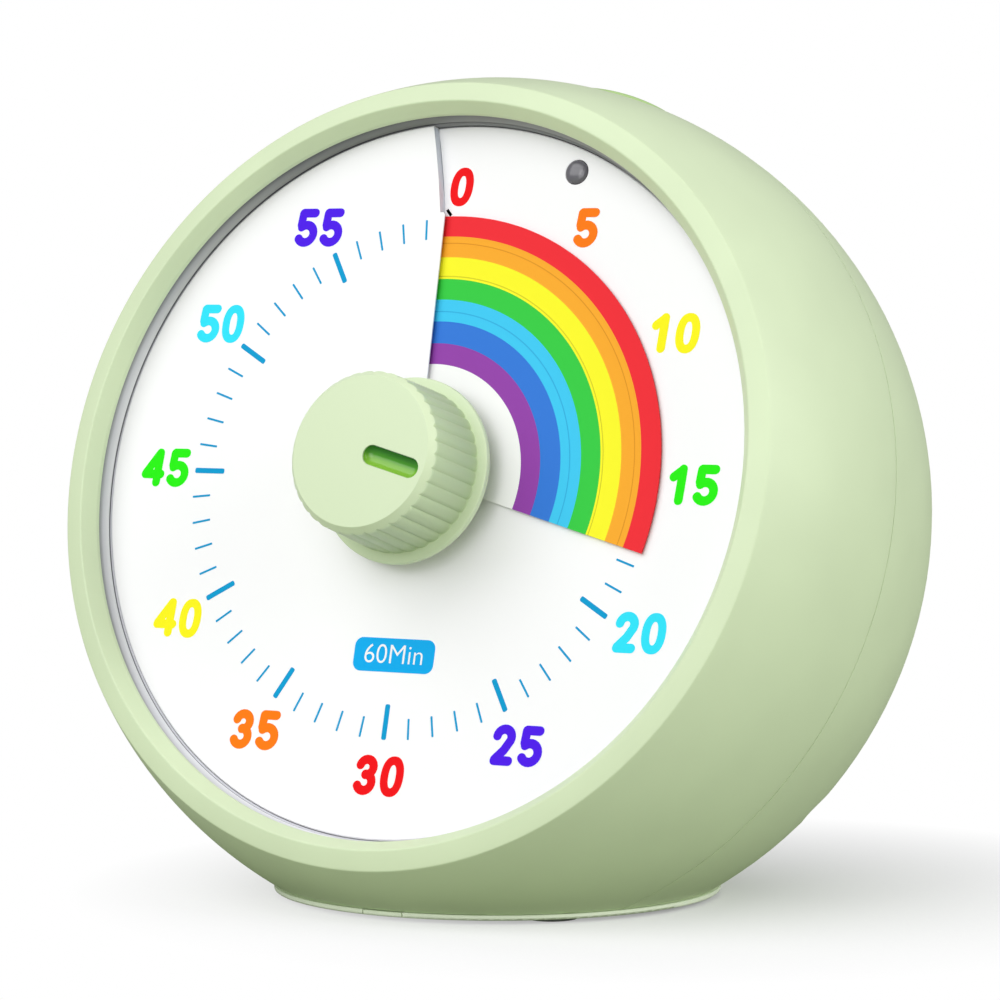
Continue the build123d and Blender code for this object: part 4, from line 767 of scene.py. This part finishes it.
# %% Disc
DISC_R = 33.3
DISC_HOLE_R = 5.3
DISC_T = 0.25
DISC_LIFT = 0.275
DISC_SWEEP = 356
SET_ANGLE = -joints["knob_turn"]["range_deg"][0]
disc_start = SET_ANGLE - DISC_SWEEP
disc_foot = DIAL_LEVEL + DISC_LIFT + PITCH * (disc_start - SLIT_ANGLE) / 360
disc_section = [
    (DISC_HOLE_R, 0), (DISC_HOLE_R, DISC_T), (14, DISC_T), (24, DISC_T), (DISC_R, DISC_T), (DISC_R, 0)
]
disc = settle(tidy(spin_up("rainbow_disc", disc_section, disc_start, DISC_SWEEP, disc_foot)))
print("the disc ends", SET_ANGLE, "degrees after 12 o'clock")

# %% [markdown]
# The disc's colours are plain printed rings. One ramp with hard steps reads the distance from the axis, as a
# share of the outermost ring's radius. Three hairlines of a deeper shade lie in the rings.

# %% Finish of the disc
BANDS = [  # outer radius in mm and colour, from the middle outwards
    (14.3, (250, 250, 250)),
    (17.0, (148, 68, 171)),
    (19.7, (54, 122, 219)),
    (22.5, (65, 201, 245)),
    (25.2, (56, 204, 70)),
    (27.9, (252, 247, 44)),
    (30.6, (251, 172, 47)),
    (34.0, (243, 46, 56)),
]
BANDS_R = BANDS[-1][0]
FINE_LINES = [(20.95, 21.1, (50, 170, 225)), (25.45, 25.6, (214, 205, 40)), (29.7, 29.85, (226, 146, 36))]


def rainbow_finish():
    """Printed rings about the dial's axis."""
    material, nodes, links, shader = new_finish("rainbow_sheet", 0.45, 0.08)
    spot, upright = upright_place(nodes, links)
    flat = nodes.new("ShaderNodeVectorMath")
    flat.operation = "MULTIPLY"
    flat.inputs[1].default_value = (1, 1, 0)
    radius = nodes.new("ShaderNodeVectorMath")
    radius.operation = "LENGTH"
    scaled = nodes.new("ShaderNodeMath")
    scaled.operation = "DIVIDE"
    scaled.inputs[1].default_value = BANDS_R * MM
    stops = [(0.0, BANDS[0][1])] + [(inner[0], outer[1]) for inner, outer in zip(BANDS, BANDS[1:])]
    for low, high, color in FINE_LINES:
        band_color = next(band[1] for band in BANDS if band[0] > high)
        stops += [(low, color), (high, band_color)]
    stops = [(edge / BANDS_R, color) for edge, color in sorted(stops)]
    links.new(upright, flat.inputs[0])
    links.new(flat.outputs["Vector"], radius.inputs[0])
    links.new(radius.outputs["Value"], scaled.inputs[0])
    rings = color_ramp(nodes, links, scaled.outputs["Value"], stops, "CONSTANT")
    links.new(rings, shader.inputs["Base Color"])
    add_grain(nodes, links, shader, spot, 0.5, 0.002)
    return material


dress(disc, rainbow_finish(), "disc", "color_disc")

# %% [markdown]
# ## The lamp
# A small light-emitting diode peeps through the dial near 12 o'clock. It is a short rod with a domed end
# and a wider foot, cast in smoked resin: one outline on the lathe. It stands where the CAD piece does.

# %% Lamp
LED_SHOULDER = DIAL_LEVEL + 0.1 * PITCH
LED_DOME = 0.55
LED_FOOT_R = 1.9
LED_FOOT_T = 0.8
to_upright = LEANED.inverted()
led_points = [to_upright @ vertex.co / MM for vertex in frame["nodes"]["indicator_led"].data.vertices]
led_foot = min(point.z for point in led_points)
led_step = led_foot + LED_FOOT_T
led_outline = rounded(
    [(0, led_foot), (LED_FOOT_R, led_foot), (LED_FOOT_R, led_step), (LED_R, led_step)], [0, 0.1, 0.1, 0.05]
)
for turn in range(0, 91, 6):
    led_outline.append((LED_R * cos(radians(turn)), LED_SHOULDER + LED_DOME * sin(radians(turn))))
lamp = lathe("status_lamp", led_outline, steps=64)
dress(settle(lamp, LEANED @ at(*LED_PLACE)), finishes["lamp_tint"], "housing", "indicator_led")

# %% [markdown]
# ## The knob
# The knob's side has 36 rounded ribs with narrow grooves between them. A circle with twelve points for each
# rib is the start: the points are drawn inwards by their distance from the rib's middle, the whole outline
# is extruded up and slimmed to the knob's taper, and what lies inside a turned blank with a chamfer is kept.

# %% Knob grip
KNOB_FOOT = DIAL_LEVEL + 3.65
FLANGE_TOP = KNOB_FOOT + 0.9
KNOB_TOP = KNOB_FOOT + 11.35
KNOB_FOOT_R = 10.45
KNOB_R = 10.1
FLANGE_R = 11.7
CHAMFER_FOOT_R = 11.2
CHAMFER_H = 2.4
FACE_R = KNOB_R - 0.72
RIBS = 36
RIB_POINTS = 12
GROOVE_DEPTH = 0.22
GRIP_FOOT = FLANGE_TOP - 0.2

bpy.ops.object.select_all(action="DESELECT")
bpy.ops.mesh.primitive_circle_add(
    vertices=RIBS * RIB_POINTS, radius=KNOB_FOOT_R * MM, fill_type="NGON", location=(0, 0, GRIP_FOOT * MM)
)
knob = name_new("setting_knob")
only(knob)
bpy.ops.object.transform_apply(location=True, rotation=True, scale=True)
for point in range(RIB_POINTS):
    select_points(knob, lambda vertex: vertex.index % RIB_POINTS == point)
    from_middle = abs(point / RIB_POINTS - 0.5) * 2
    share = 1 - GROOVE_DEPTH * from_middle**3 / KNOB_FOOT_R
    bpy.ops.transform.resize(value=(share, share, 1), center_override=(0, 0, 0))
    bpy.ops.object.mode_set(mode="OBJECT")

edit(knob)
rise = KNOB_TOP + 0.3 - GRIP_FOOT
taper = 1 - (1 - KNOB_R / KNOB_FOOT_R) * rise / (KNOB_TOP - FLANGE_TOP)
bpy.ops.mesh.extrude_region_move(TRANSFORM_OT_translate={"value": (0, 0, rise * MM)})
bpy.ops.transform.resize(value=(taper, taper, 1), center_override=(0, 0, 0))
bpy.ops.object.mode_set(mode="OBJECT")
tidy(knob)
blank_outline = rounded(
    [(0, GRIP_FOOT - 1), (CHAMFER_FOOT_R, GRIP_FOOT - 1), (CHAMFER_FOOT_R, KNOB_TOP - CHAMFER_H),
     (FACE_R, KNOB_TOP), (0, KNOB_TOP)],
    [0, 0, 0, 0.12, 0],
)
combine(knob, lathe("blank", blank_outline, steps=192), "INTERSECT")
tidy(knob)
print("grip", [round(value / MM, 2) for value in knob.dimensions])

# %% [markdown]
# The flange and the hollow inside are round, so they come from the lathe and are joined and cut with
# booleans. A sleeve in the middle takes the end of the shaft.

# %% Knob flange, hollow and sleeve
HOLLOW_TOP = KNOB_TOP - 2.9
HOLLOW_FOOT_R = 8.65
HOLLOW_TOP_R = 8.0
SLEEVE_R = 5.2
SLEEVE_FOOT = DIAL_LEVEL - 1.6
SOCKET_R = 1.52
flange_outline = rounded(
    [(0, KNOB_FOOT), (FLANGE_R, KNOB_FOOT), (FLANGE_R, FLANGE_TOP), (9.0, FLANGE_TOP), (0, FLANGE_TOP)],
    [0, 0.2, 0.2, 0, 0],
)
combine(knob, lathe("flange", flange_outline, steps=192), "UNION")
hollow = [
    (SLEEVE_R, KNOB_FOOT - 1), (HOLLOW_FOOT_R, KNOB_FOOT - 1), (HOLLOW_TOP_R, HOLLOW_TOP),
    (SLEEVE_R, HOLLOW_TOP), (SLEEVE_R, KNOB_FOOT - 1),
]
combine(knob, lathe("hollow", hollow, steps=96))
combine(knob, rod("sleeve", SLEEVE_R + 0.01, SLEEVE_FOOT, HOLLOW_TOP + 0.2, sides=96), "UNION")
combine(knob, rod("socket", SOCKET_R, SLEEVE_FOOT - 1, HOLLOW_TOP - 0.35))

# %% [markdown]
# The pointer is a channel with round ends. It is cut with a cylinder of which one half is pulled along. The
# cylinder is first turned by half a side, so that no point lies on the line between the two halves.

# %% Pointer channel
POINTER_W = 2.5
POINTER_START = 0.5
POINTER_LENGTH = 8.7
POINTER_DEPTH = 1.1
POINTER_SIDES = 48
TO_POINTER = Matrix.Rotation(radians(-SET_ANGLE), 4, "Z")


def half_side(piece):
    """Turns a round piece by half a side."""
    only(piece)
    piece.rotation_euler.z = pi / POINTER_SIDES
    bpy.context.view_layer.update()
    bpy.ops.object.transform_apply(location=False, rotation=True, scale=True)


def stretch(piece, length):
    """Pulls the half of a piece with y above 0 along Y, so that it gets two round ends."""
    select_points(piece, lambda vertex: vertex.co.y > 0)
    bpy.ops.transform.translate(value=(0, length * MM, 0))
    bpy.ops.object.mode_set(mode="OBJECT")


def slot(name, width, start, end, low, high):
    """A block with round ends that runs outwards along the pointer."""
    piece = rod(name, width / 2, low, high, sides=POINTER_SIDES)
    half_side(piece)
    stretch(piece, end - start - width)
    return settle(piece, TO_POINTER @ at(0, start + width / 2))


channel_floor = KNOB_TOP - POINTER_DEPTH
combine(knob, slot("channel", POINTER_W, POINTER_START, POINTER_LENGTH, channel_floor, KNOB_TOP + 1))

# %% [markdown]
# The ribbed side is given painted shade, a shade deeper than the face. A ramp over the knob's height paints it:
# the flange is pale, the ribs are deep, and the chamfer is pale again.

# %% Finish of the knob
# Painted shade: the ribbed side is darker than the flange and the chamfer.
GRIP_PAINTED_SHADE = [
    (0.0, (217, 232, 196)), (0.03, (186, 203, 165)), (0.86, (196, 213, 175)), (0.93, (217, 232, 196)),
]


def knob_painted_shade_finish():
    """The knob's green, with painted shade on the ribs from the flange up to the chamfer."""
    material, nodes, links, shader = new_finish("knob_grip_painted_shade", 0.42, 0.35)
    spot, upright = upright_place(nodes, links)
    level = share_along(nodes, links, upright, "Z", (FLANGE_TOP + 0.02, KNOB_TOP))
    links.new(color_ramp(nodes, links, level.outputs["Result"], GRIP_PAINTED_SHADE), shader.inputs["Base Color"])
    add_grain(nodes, links, shader, spot, 0.22, 0.006)
    return material


dress(settle(tidy(knob)), knob_painted_shade_finish(), "knob", "knob")

# %% [markdown]
# The inlay is clear green resin that fills the channel's floor and has a half-round groove along its top.
# The groove is a flattened ball, pulled along by the same trick. A ramp across the channel paints shade on
# the flank that faces away from the light, deep green, and paints light on the other, lime.

# %% Pointer inlay
INLAY_GAP = 0.025
GROOVE_R = 1.17
GROOVE_H = 0.78
# Painted shade on the channel's upper flank and painted light on its lower one.
POINTER_PAINTED_LIGHT_AND_SHADE = [(0.1, (40, 116, 40)), (0.4, (78, 152, 44)), (0.62, (124, 186, 54)), (0.95, (142, 198, 66))]

inlay = slot(
    "pointer", POINTER_W - 2 * INLAY_GAP, POINTER_START + INLAY_GAP, POINTER_LENGTH - INLAY_GAP,
    channel_floor + 0.05, KNOB_TOP - 0.2,
)
bpy.ops.object.select_all(action="DESELECT")
bpy.ops.mesh.primitive_uv_sphere_add(segments=POINTER_SIDES, ring_count=24, radius=GROOVE_R * MM)
groove = name_new("groove")
groove.scale.z = GROOVE_H / GROOVE_R
half_side(groove)
stretch(groove, POINTER_LENGTH - POINTER_START - POINTER_W)
settle(groove, TO_POINTER @ at(0, POINTER_START + POINTER_W / 2, KNOB_TOP - 0.15))
combine(inlay, groove)


def inlay_painted_light_finish():
    """Glossy green with painted shade, deep at the channel's upper flank, and painted light, lime at its lower
    one.
    """
    material, nodes, links, shader = new_finish("pointer_painted_light", 0.14, 0.5)
    spot, upright = upright_place(nodes, links)
    turned = nodes.new("ShaderNodeMapping")
    turned.vector_type = "TEXTURE"
    turned.inputs["Rotation"].default_value = TO_POINTER.to_euler()
    links.new(upright, turned.inputs["Vector"])
    across = share_along(nodes, links, turned.outputs["Vector"], "X", (-POINTER_W / 2, POINTER_W / 2))
    links.new(color_ramp(nodes, links, across.outputs["Result"], POINTER_PAINTED_LIGHT_AND_SHADE), shader.inputs["Base Color"])
    add_grain(nodes, links, shader, spot, 1.5, 0.002)
    return material


dress(settle(tidy(inlay, 50)), inlay_painted_light_finish(), "knob", "pointer_inlay")

# %% [markdown]
# ## The top button
# The button's crown is part of a slightly larger ball, so it stands proud of the body all round. Below it
# are a skirt that keeps it in the body, and a hollow for the spring. Its axis leans back from straight up,
# and the joint that it is pressed along gives that axis.

# %% Top button
button_axis = -Vector(joints["top_button_press"]["axis"])
button_tilt = atan2(button_axis.y, button_axis.z)
TO_BUTTON = Matrix.Translation(CENTRE) @ Matrix.Rotation(-button_tilt, 4, "X")
CROWN_R = BODY_R + 3.7
BUTTON_R = 13.0
SKIRT_R = 14.5
SKIRT_TOP, SKIRT_FOOT = 49.76, 48.56
BUTTON_IN_R = 11.4
BUTTON_ROOF = 54.009
crown_edge = degrees(acos(BUTTON_R / CROWN_R))
crown_rim = sqrt(CROWN_R**2 - BUTTON_R**2)
button_outline = arc((0, 0), CROWN_R, 90, crown_edge + 1.5, 14)
button_outline += rounded(
    [button_outline[-1], (BUTTON_R, crown_rim), (BUTTON_R, SKIRT_TOP), (SKIRT_R, SKIRT_TOP),
     (SKIRT_R, SKIRT_FOOT), (BUTTON_IN_R, SKIRT_FOOT), (BUTTON_IN_R, BUTTON_ROOF), (0, BUTTON_ROOF)],
    [0, 0.9, 0.1, 0.1, 0.1, 0.1, 0.3, 0],
)[1:]
button = settle(lathe("press_button", button_outline), TO_BUTTON)
dress(button, plastic("button_green", (176, 206, 138), 0.42), "top_button", "top_button")

# %% [markdown]
# ## Printing on the dial
# The numbers are printed with thick ink. Each stroke of a digit is a band with round ends that follows a
# path, its outline drawn point by point, filled and extruded to a thin plate. The strokes of a digit are
# joined, and the digit is slanted. Last, each print is draped: every point is raised by the dial's own level.

# %% Plates of ink
INK_TOP = 0.03
INK_FOOT = -0.02


def ink(name, color):
    """Thick matt ink of one colour."""
    return plastic(name, color, 0.4, grain=0.4, depth=0.002, drift=0.01, specular=0.08)


def band(path, width, steps=9):
    """The outline of a band with round ends that follows a smooth path."""
    path = [Vector(point) for point in path]
    sides = [], []
    for index, point in enumerate(path):
        along = path[min(index + 1, len(path) - 1)] - path[max(index - 1, 0)]
        across = Vector((-along.y, along.x)).normalized() * width / 2
        sides[0].append(point + across)
        sides[1].append(point - across)
    ends = []
    for point, edge in ((path[-1], sides[0][-1]), (path[0], sides[1][0])):
        spoke = edge - point
        turn = degrees(atan2(spoke.y, spoke.x))
        ends.append([Vector(place) for place in arc(point, width / 2, turn, turn - 180, steps)][1:-1])
    return sides[0] + ends[0] + sides[1][::-1] + ends[1]


def plate(name, points, low=INK_FOOT, high=INK_TOP):
    """A thin plate with the given outline, lying in the XY plane."""
    piece = draw(name, points)
    edit(piece)
    bpy.ops.mesh.edge_face_add()
    bpy.ops.transform.rotate(value=pi / 2, orient_axis="X", center_override=(0, 0, 0))
    bpy.ops.transform.translate(value=(0, 0, low * MM))
    bpy.ops.mesh.extrude_region_move(TRANSFORM_OT_translate={"value": (0, 0, (high - low) * MM)})
    bpy.ops.object.mode_set(mode="OBJECT")
    return tidy(piece)


def drape(piece):
    """Raises each point of a flat print to the dial's level at its place."""
    for vertex in piece.data.vertices:
        vertex.co.z += ramp_level(vertex.co.x / MM, vertex.co.y / MM) * MM
    return piece


# %% [markdown]
# The digits are bold, slanted and a little narrow. Five of them are strokes: straight ones are given by
# their ends, curved ones by an arc. The 0 is an oval with a smaller one cut out, both a little squarer than
# an ellipse, which the power below 1 gives.

# %% Digits
STROKE_W = 1.16
DIGIT_SLANT = 0.045
OVAL_POWER = 0.88
OVAL_SIZE = (1.6, 2.5)
COUNTER_SIZE = (0.52, 1.42)
STROKES = {  # the paths of each digit's strokes, in mm about its middle
    "1": [[(-0.7, 0.95), (0.3, 1.75)], [(0.4, 1.9), (0.4, -1.9)]],
    "2": [arc((0, 0.95), 0.98, 172, -40, 14) + [(0.2, -0.62), (-0.9, -1.8)], [(-0.92, -1.92), (1.0, -1.92)]],
    "3": [arc((-0.02, 0.97), 0.95, 165, -75, 14) + [(-0.05, 0.05)],
          [(-0.05, 0.08)] + arc((-0.05, -0.9), 1.02, 75, -155, 16)],
    "4": [[(0.72, 1.9), (0.72, -1.9)], [(0.67, 1.9), (-1.05, -0.7)], [(-1.1, -0.85), (1.2, -0.85)]],
    "5": [[(0.98, 1.95), (-0.74, 1.95)], [(-0.78, 1.92), (-0.84, 0.42)],
          arc((0.0, -0.76), 1.14, 130, -146, 18)],
}


def oval(size):
    """An outline between an ellipse and a box."""
    circle = arc((0, 0), 1, 180, -174, 59)
    squarer = [(copysign(abs(x)**OVAL_POWER, x), copysign(abs(y)**OVAL_POWER, y)) for x, y in circle]
    return [(x * size[0], y * size[1]) for x, y in squarer]


def digit(character):
    """One digit as a flat plate, slanted to the right."""
    if character == "0":
        made = plate("digit", oval(OVAL_SIZE))
        combine(made, plate("counter", oval(COUNTER_SIZE), INK_FOOT - 1, INK_TOP + 1))
    else:
        strokes = [plate("stroke", band(path, STROKE_W)) for path in STROKES[character]]
        made = strokes[0]
        for stroke in strokes[1:]:
            combine(made, stroke, "UNION")
    for vertex in made.data.vertices:
        vertex.co.x += DIGIT_SLANT * vertex.co.y
    return tidy(made)


digits = {character: digit(character) for character in "012345"}
print("digits made:", sorted(digits))

# %% [markdown]
# The twelve numbers stand upright round the dial, and their colours repeat every half hour. Each place is
# given one by one: the places are near a circle, and not quite on it.

# %% Numbers round the dial
DIGIT_STEP = 3.72
NUMBER_PLACES = [
    (0.23, 37.23), (18.64, 31.77), (32.56, 18.58), (37.52, -0.02), (33.09, -18.10), (18.53, -32.48),
    (0.04, -37.22), (-18.59, -32.58), (-32.30, -19.02), (-37.34, 0.24), (-32.03, 19.17), (-19.22, 31.74),
]
NUMBER_INKS = [
    ink("ink_red", (244, 6, 16)), ink("ink_orange", (255, 124, 8)), ink("ink_yellow", (255, 246, 24)),
    ink("ink_lime", (36, 242, 4)), ink("ink_cyan", (48, 228, 254)), ink("ink_violet", (78, 22, 238)),
]
for index, middle in enumerate(NUMBER_PLACES):
    middle = Vector(middle)
    characters = str(5 * index)
    copies = []
    for place, character in enumerate(characters):
        shift = (place - (len(characters) - 1) / 2) * DIGIT_STEP
        copies.append(settle(twin(digits[character]), at(middle.x + shift, middle.y)))
    number = join_all(copies, f"number_{5 * index:02d}")
    dress(settle(drape(number)), NUMBER_INKS[index % len(NUMBER_INKS)], "housing")
for piece in digits.values():
    bpy.data.objects.remove(piece)

# %% [markdown]
# A fine line marks each minute, and a bold one every fifth, except at 0, where the slit is. Both kinds are
# made once, at 12 o'clock, and copied round.

# %% Ticks


def box_outline(middle, width, height, corner, steps):
    """The outline of a rectangle with round corners."""
    left, right = middle[0] - width / 2, middle[0] + width / 2
    foot, top = middle[1] - height / 2, middle[1] + height / 2
    return rounded([(left, foot), (right, foot), (right, top), (left, top)], [corner] * 4, steps)


def tick(radius, length, width):
    """A line with rounded ends that points to the dial's middle."""
    return plate("tick", box_outline((0, radius), width, length, width * 0.3, steps=2))


fine = tick(radius=31.5, length=2.6, width=0.27)
bold = tick(radius=30.6, length=4.4, width=0.68)
copies = []
for minute in range(1, 60):
    copy = twin(fine if minute % 5 else bold)
    copies.append(drape(settle(copy, Matrix.Rotation(radians(-6 * minute), 4, "Z"))))
ticks = settle(join_all(copies, "minute_ticks"))
dress(ticks, ink("ink_blue", (0, 156, 212)), "housing")
bpy.data.objects.remove(fine)
bpy.data.objects.remove(bold)

# %% [markdown]
# A small label under the knob says how much time the dial holds. Its field is a rounded plate, and its text
# is a text object in Blender's own font that is turned into a mesh before it gets its place.

# %% Label
LABEL_MIDDLE = (-0.1, -22.35)
LABEL_SIZE = (11.35, 4.2)
TEXT_SIZE = 3.45
TEXT_THINNER = 0.035
TEXT_T = 0.02
label = plate("label_field", box_outline(LABEL_MIDDLE, *LABEL_SIZE, 1.1, steps=6))
dress(settle(drape(label)), ink("ink_label", (4, 172, 242)), "housing")

bpy.ops.object.text_add()
text = bpy.context.active_object
text.data.body = "60Min"
text.data.align_x = "CENTER"
text.data.align_y = "CENTER"
text.data.size = TEXT_SIZE * MM
text.data.offset = -TEXT_THINNER * MM
text.data.extrude = TEXT_T * MM
only(text)
bpy.ops.object.convert(target="MESH")
text = name_new("label_text")
print("text", [round(value / MM, 2) for value in text.dimensions])
settle(text, at(*LABEL_MIDDLE, INK_TOP + 0.01))
tidy(text)
dress(settle(drape(text)), ink("ink_white", (250, 250, 250)), "housing")
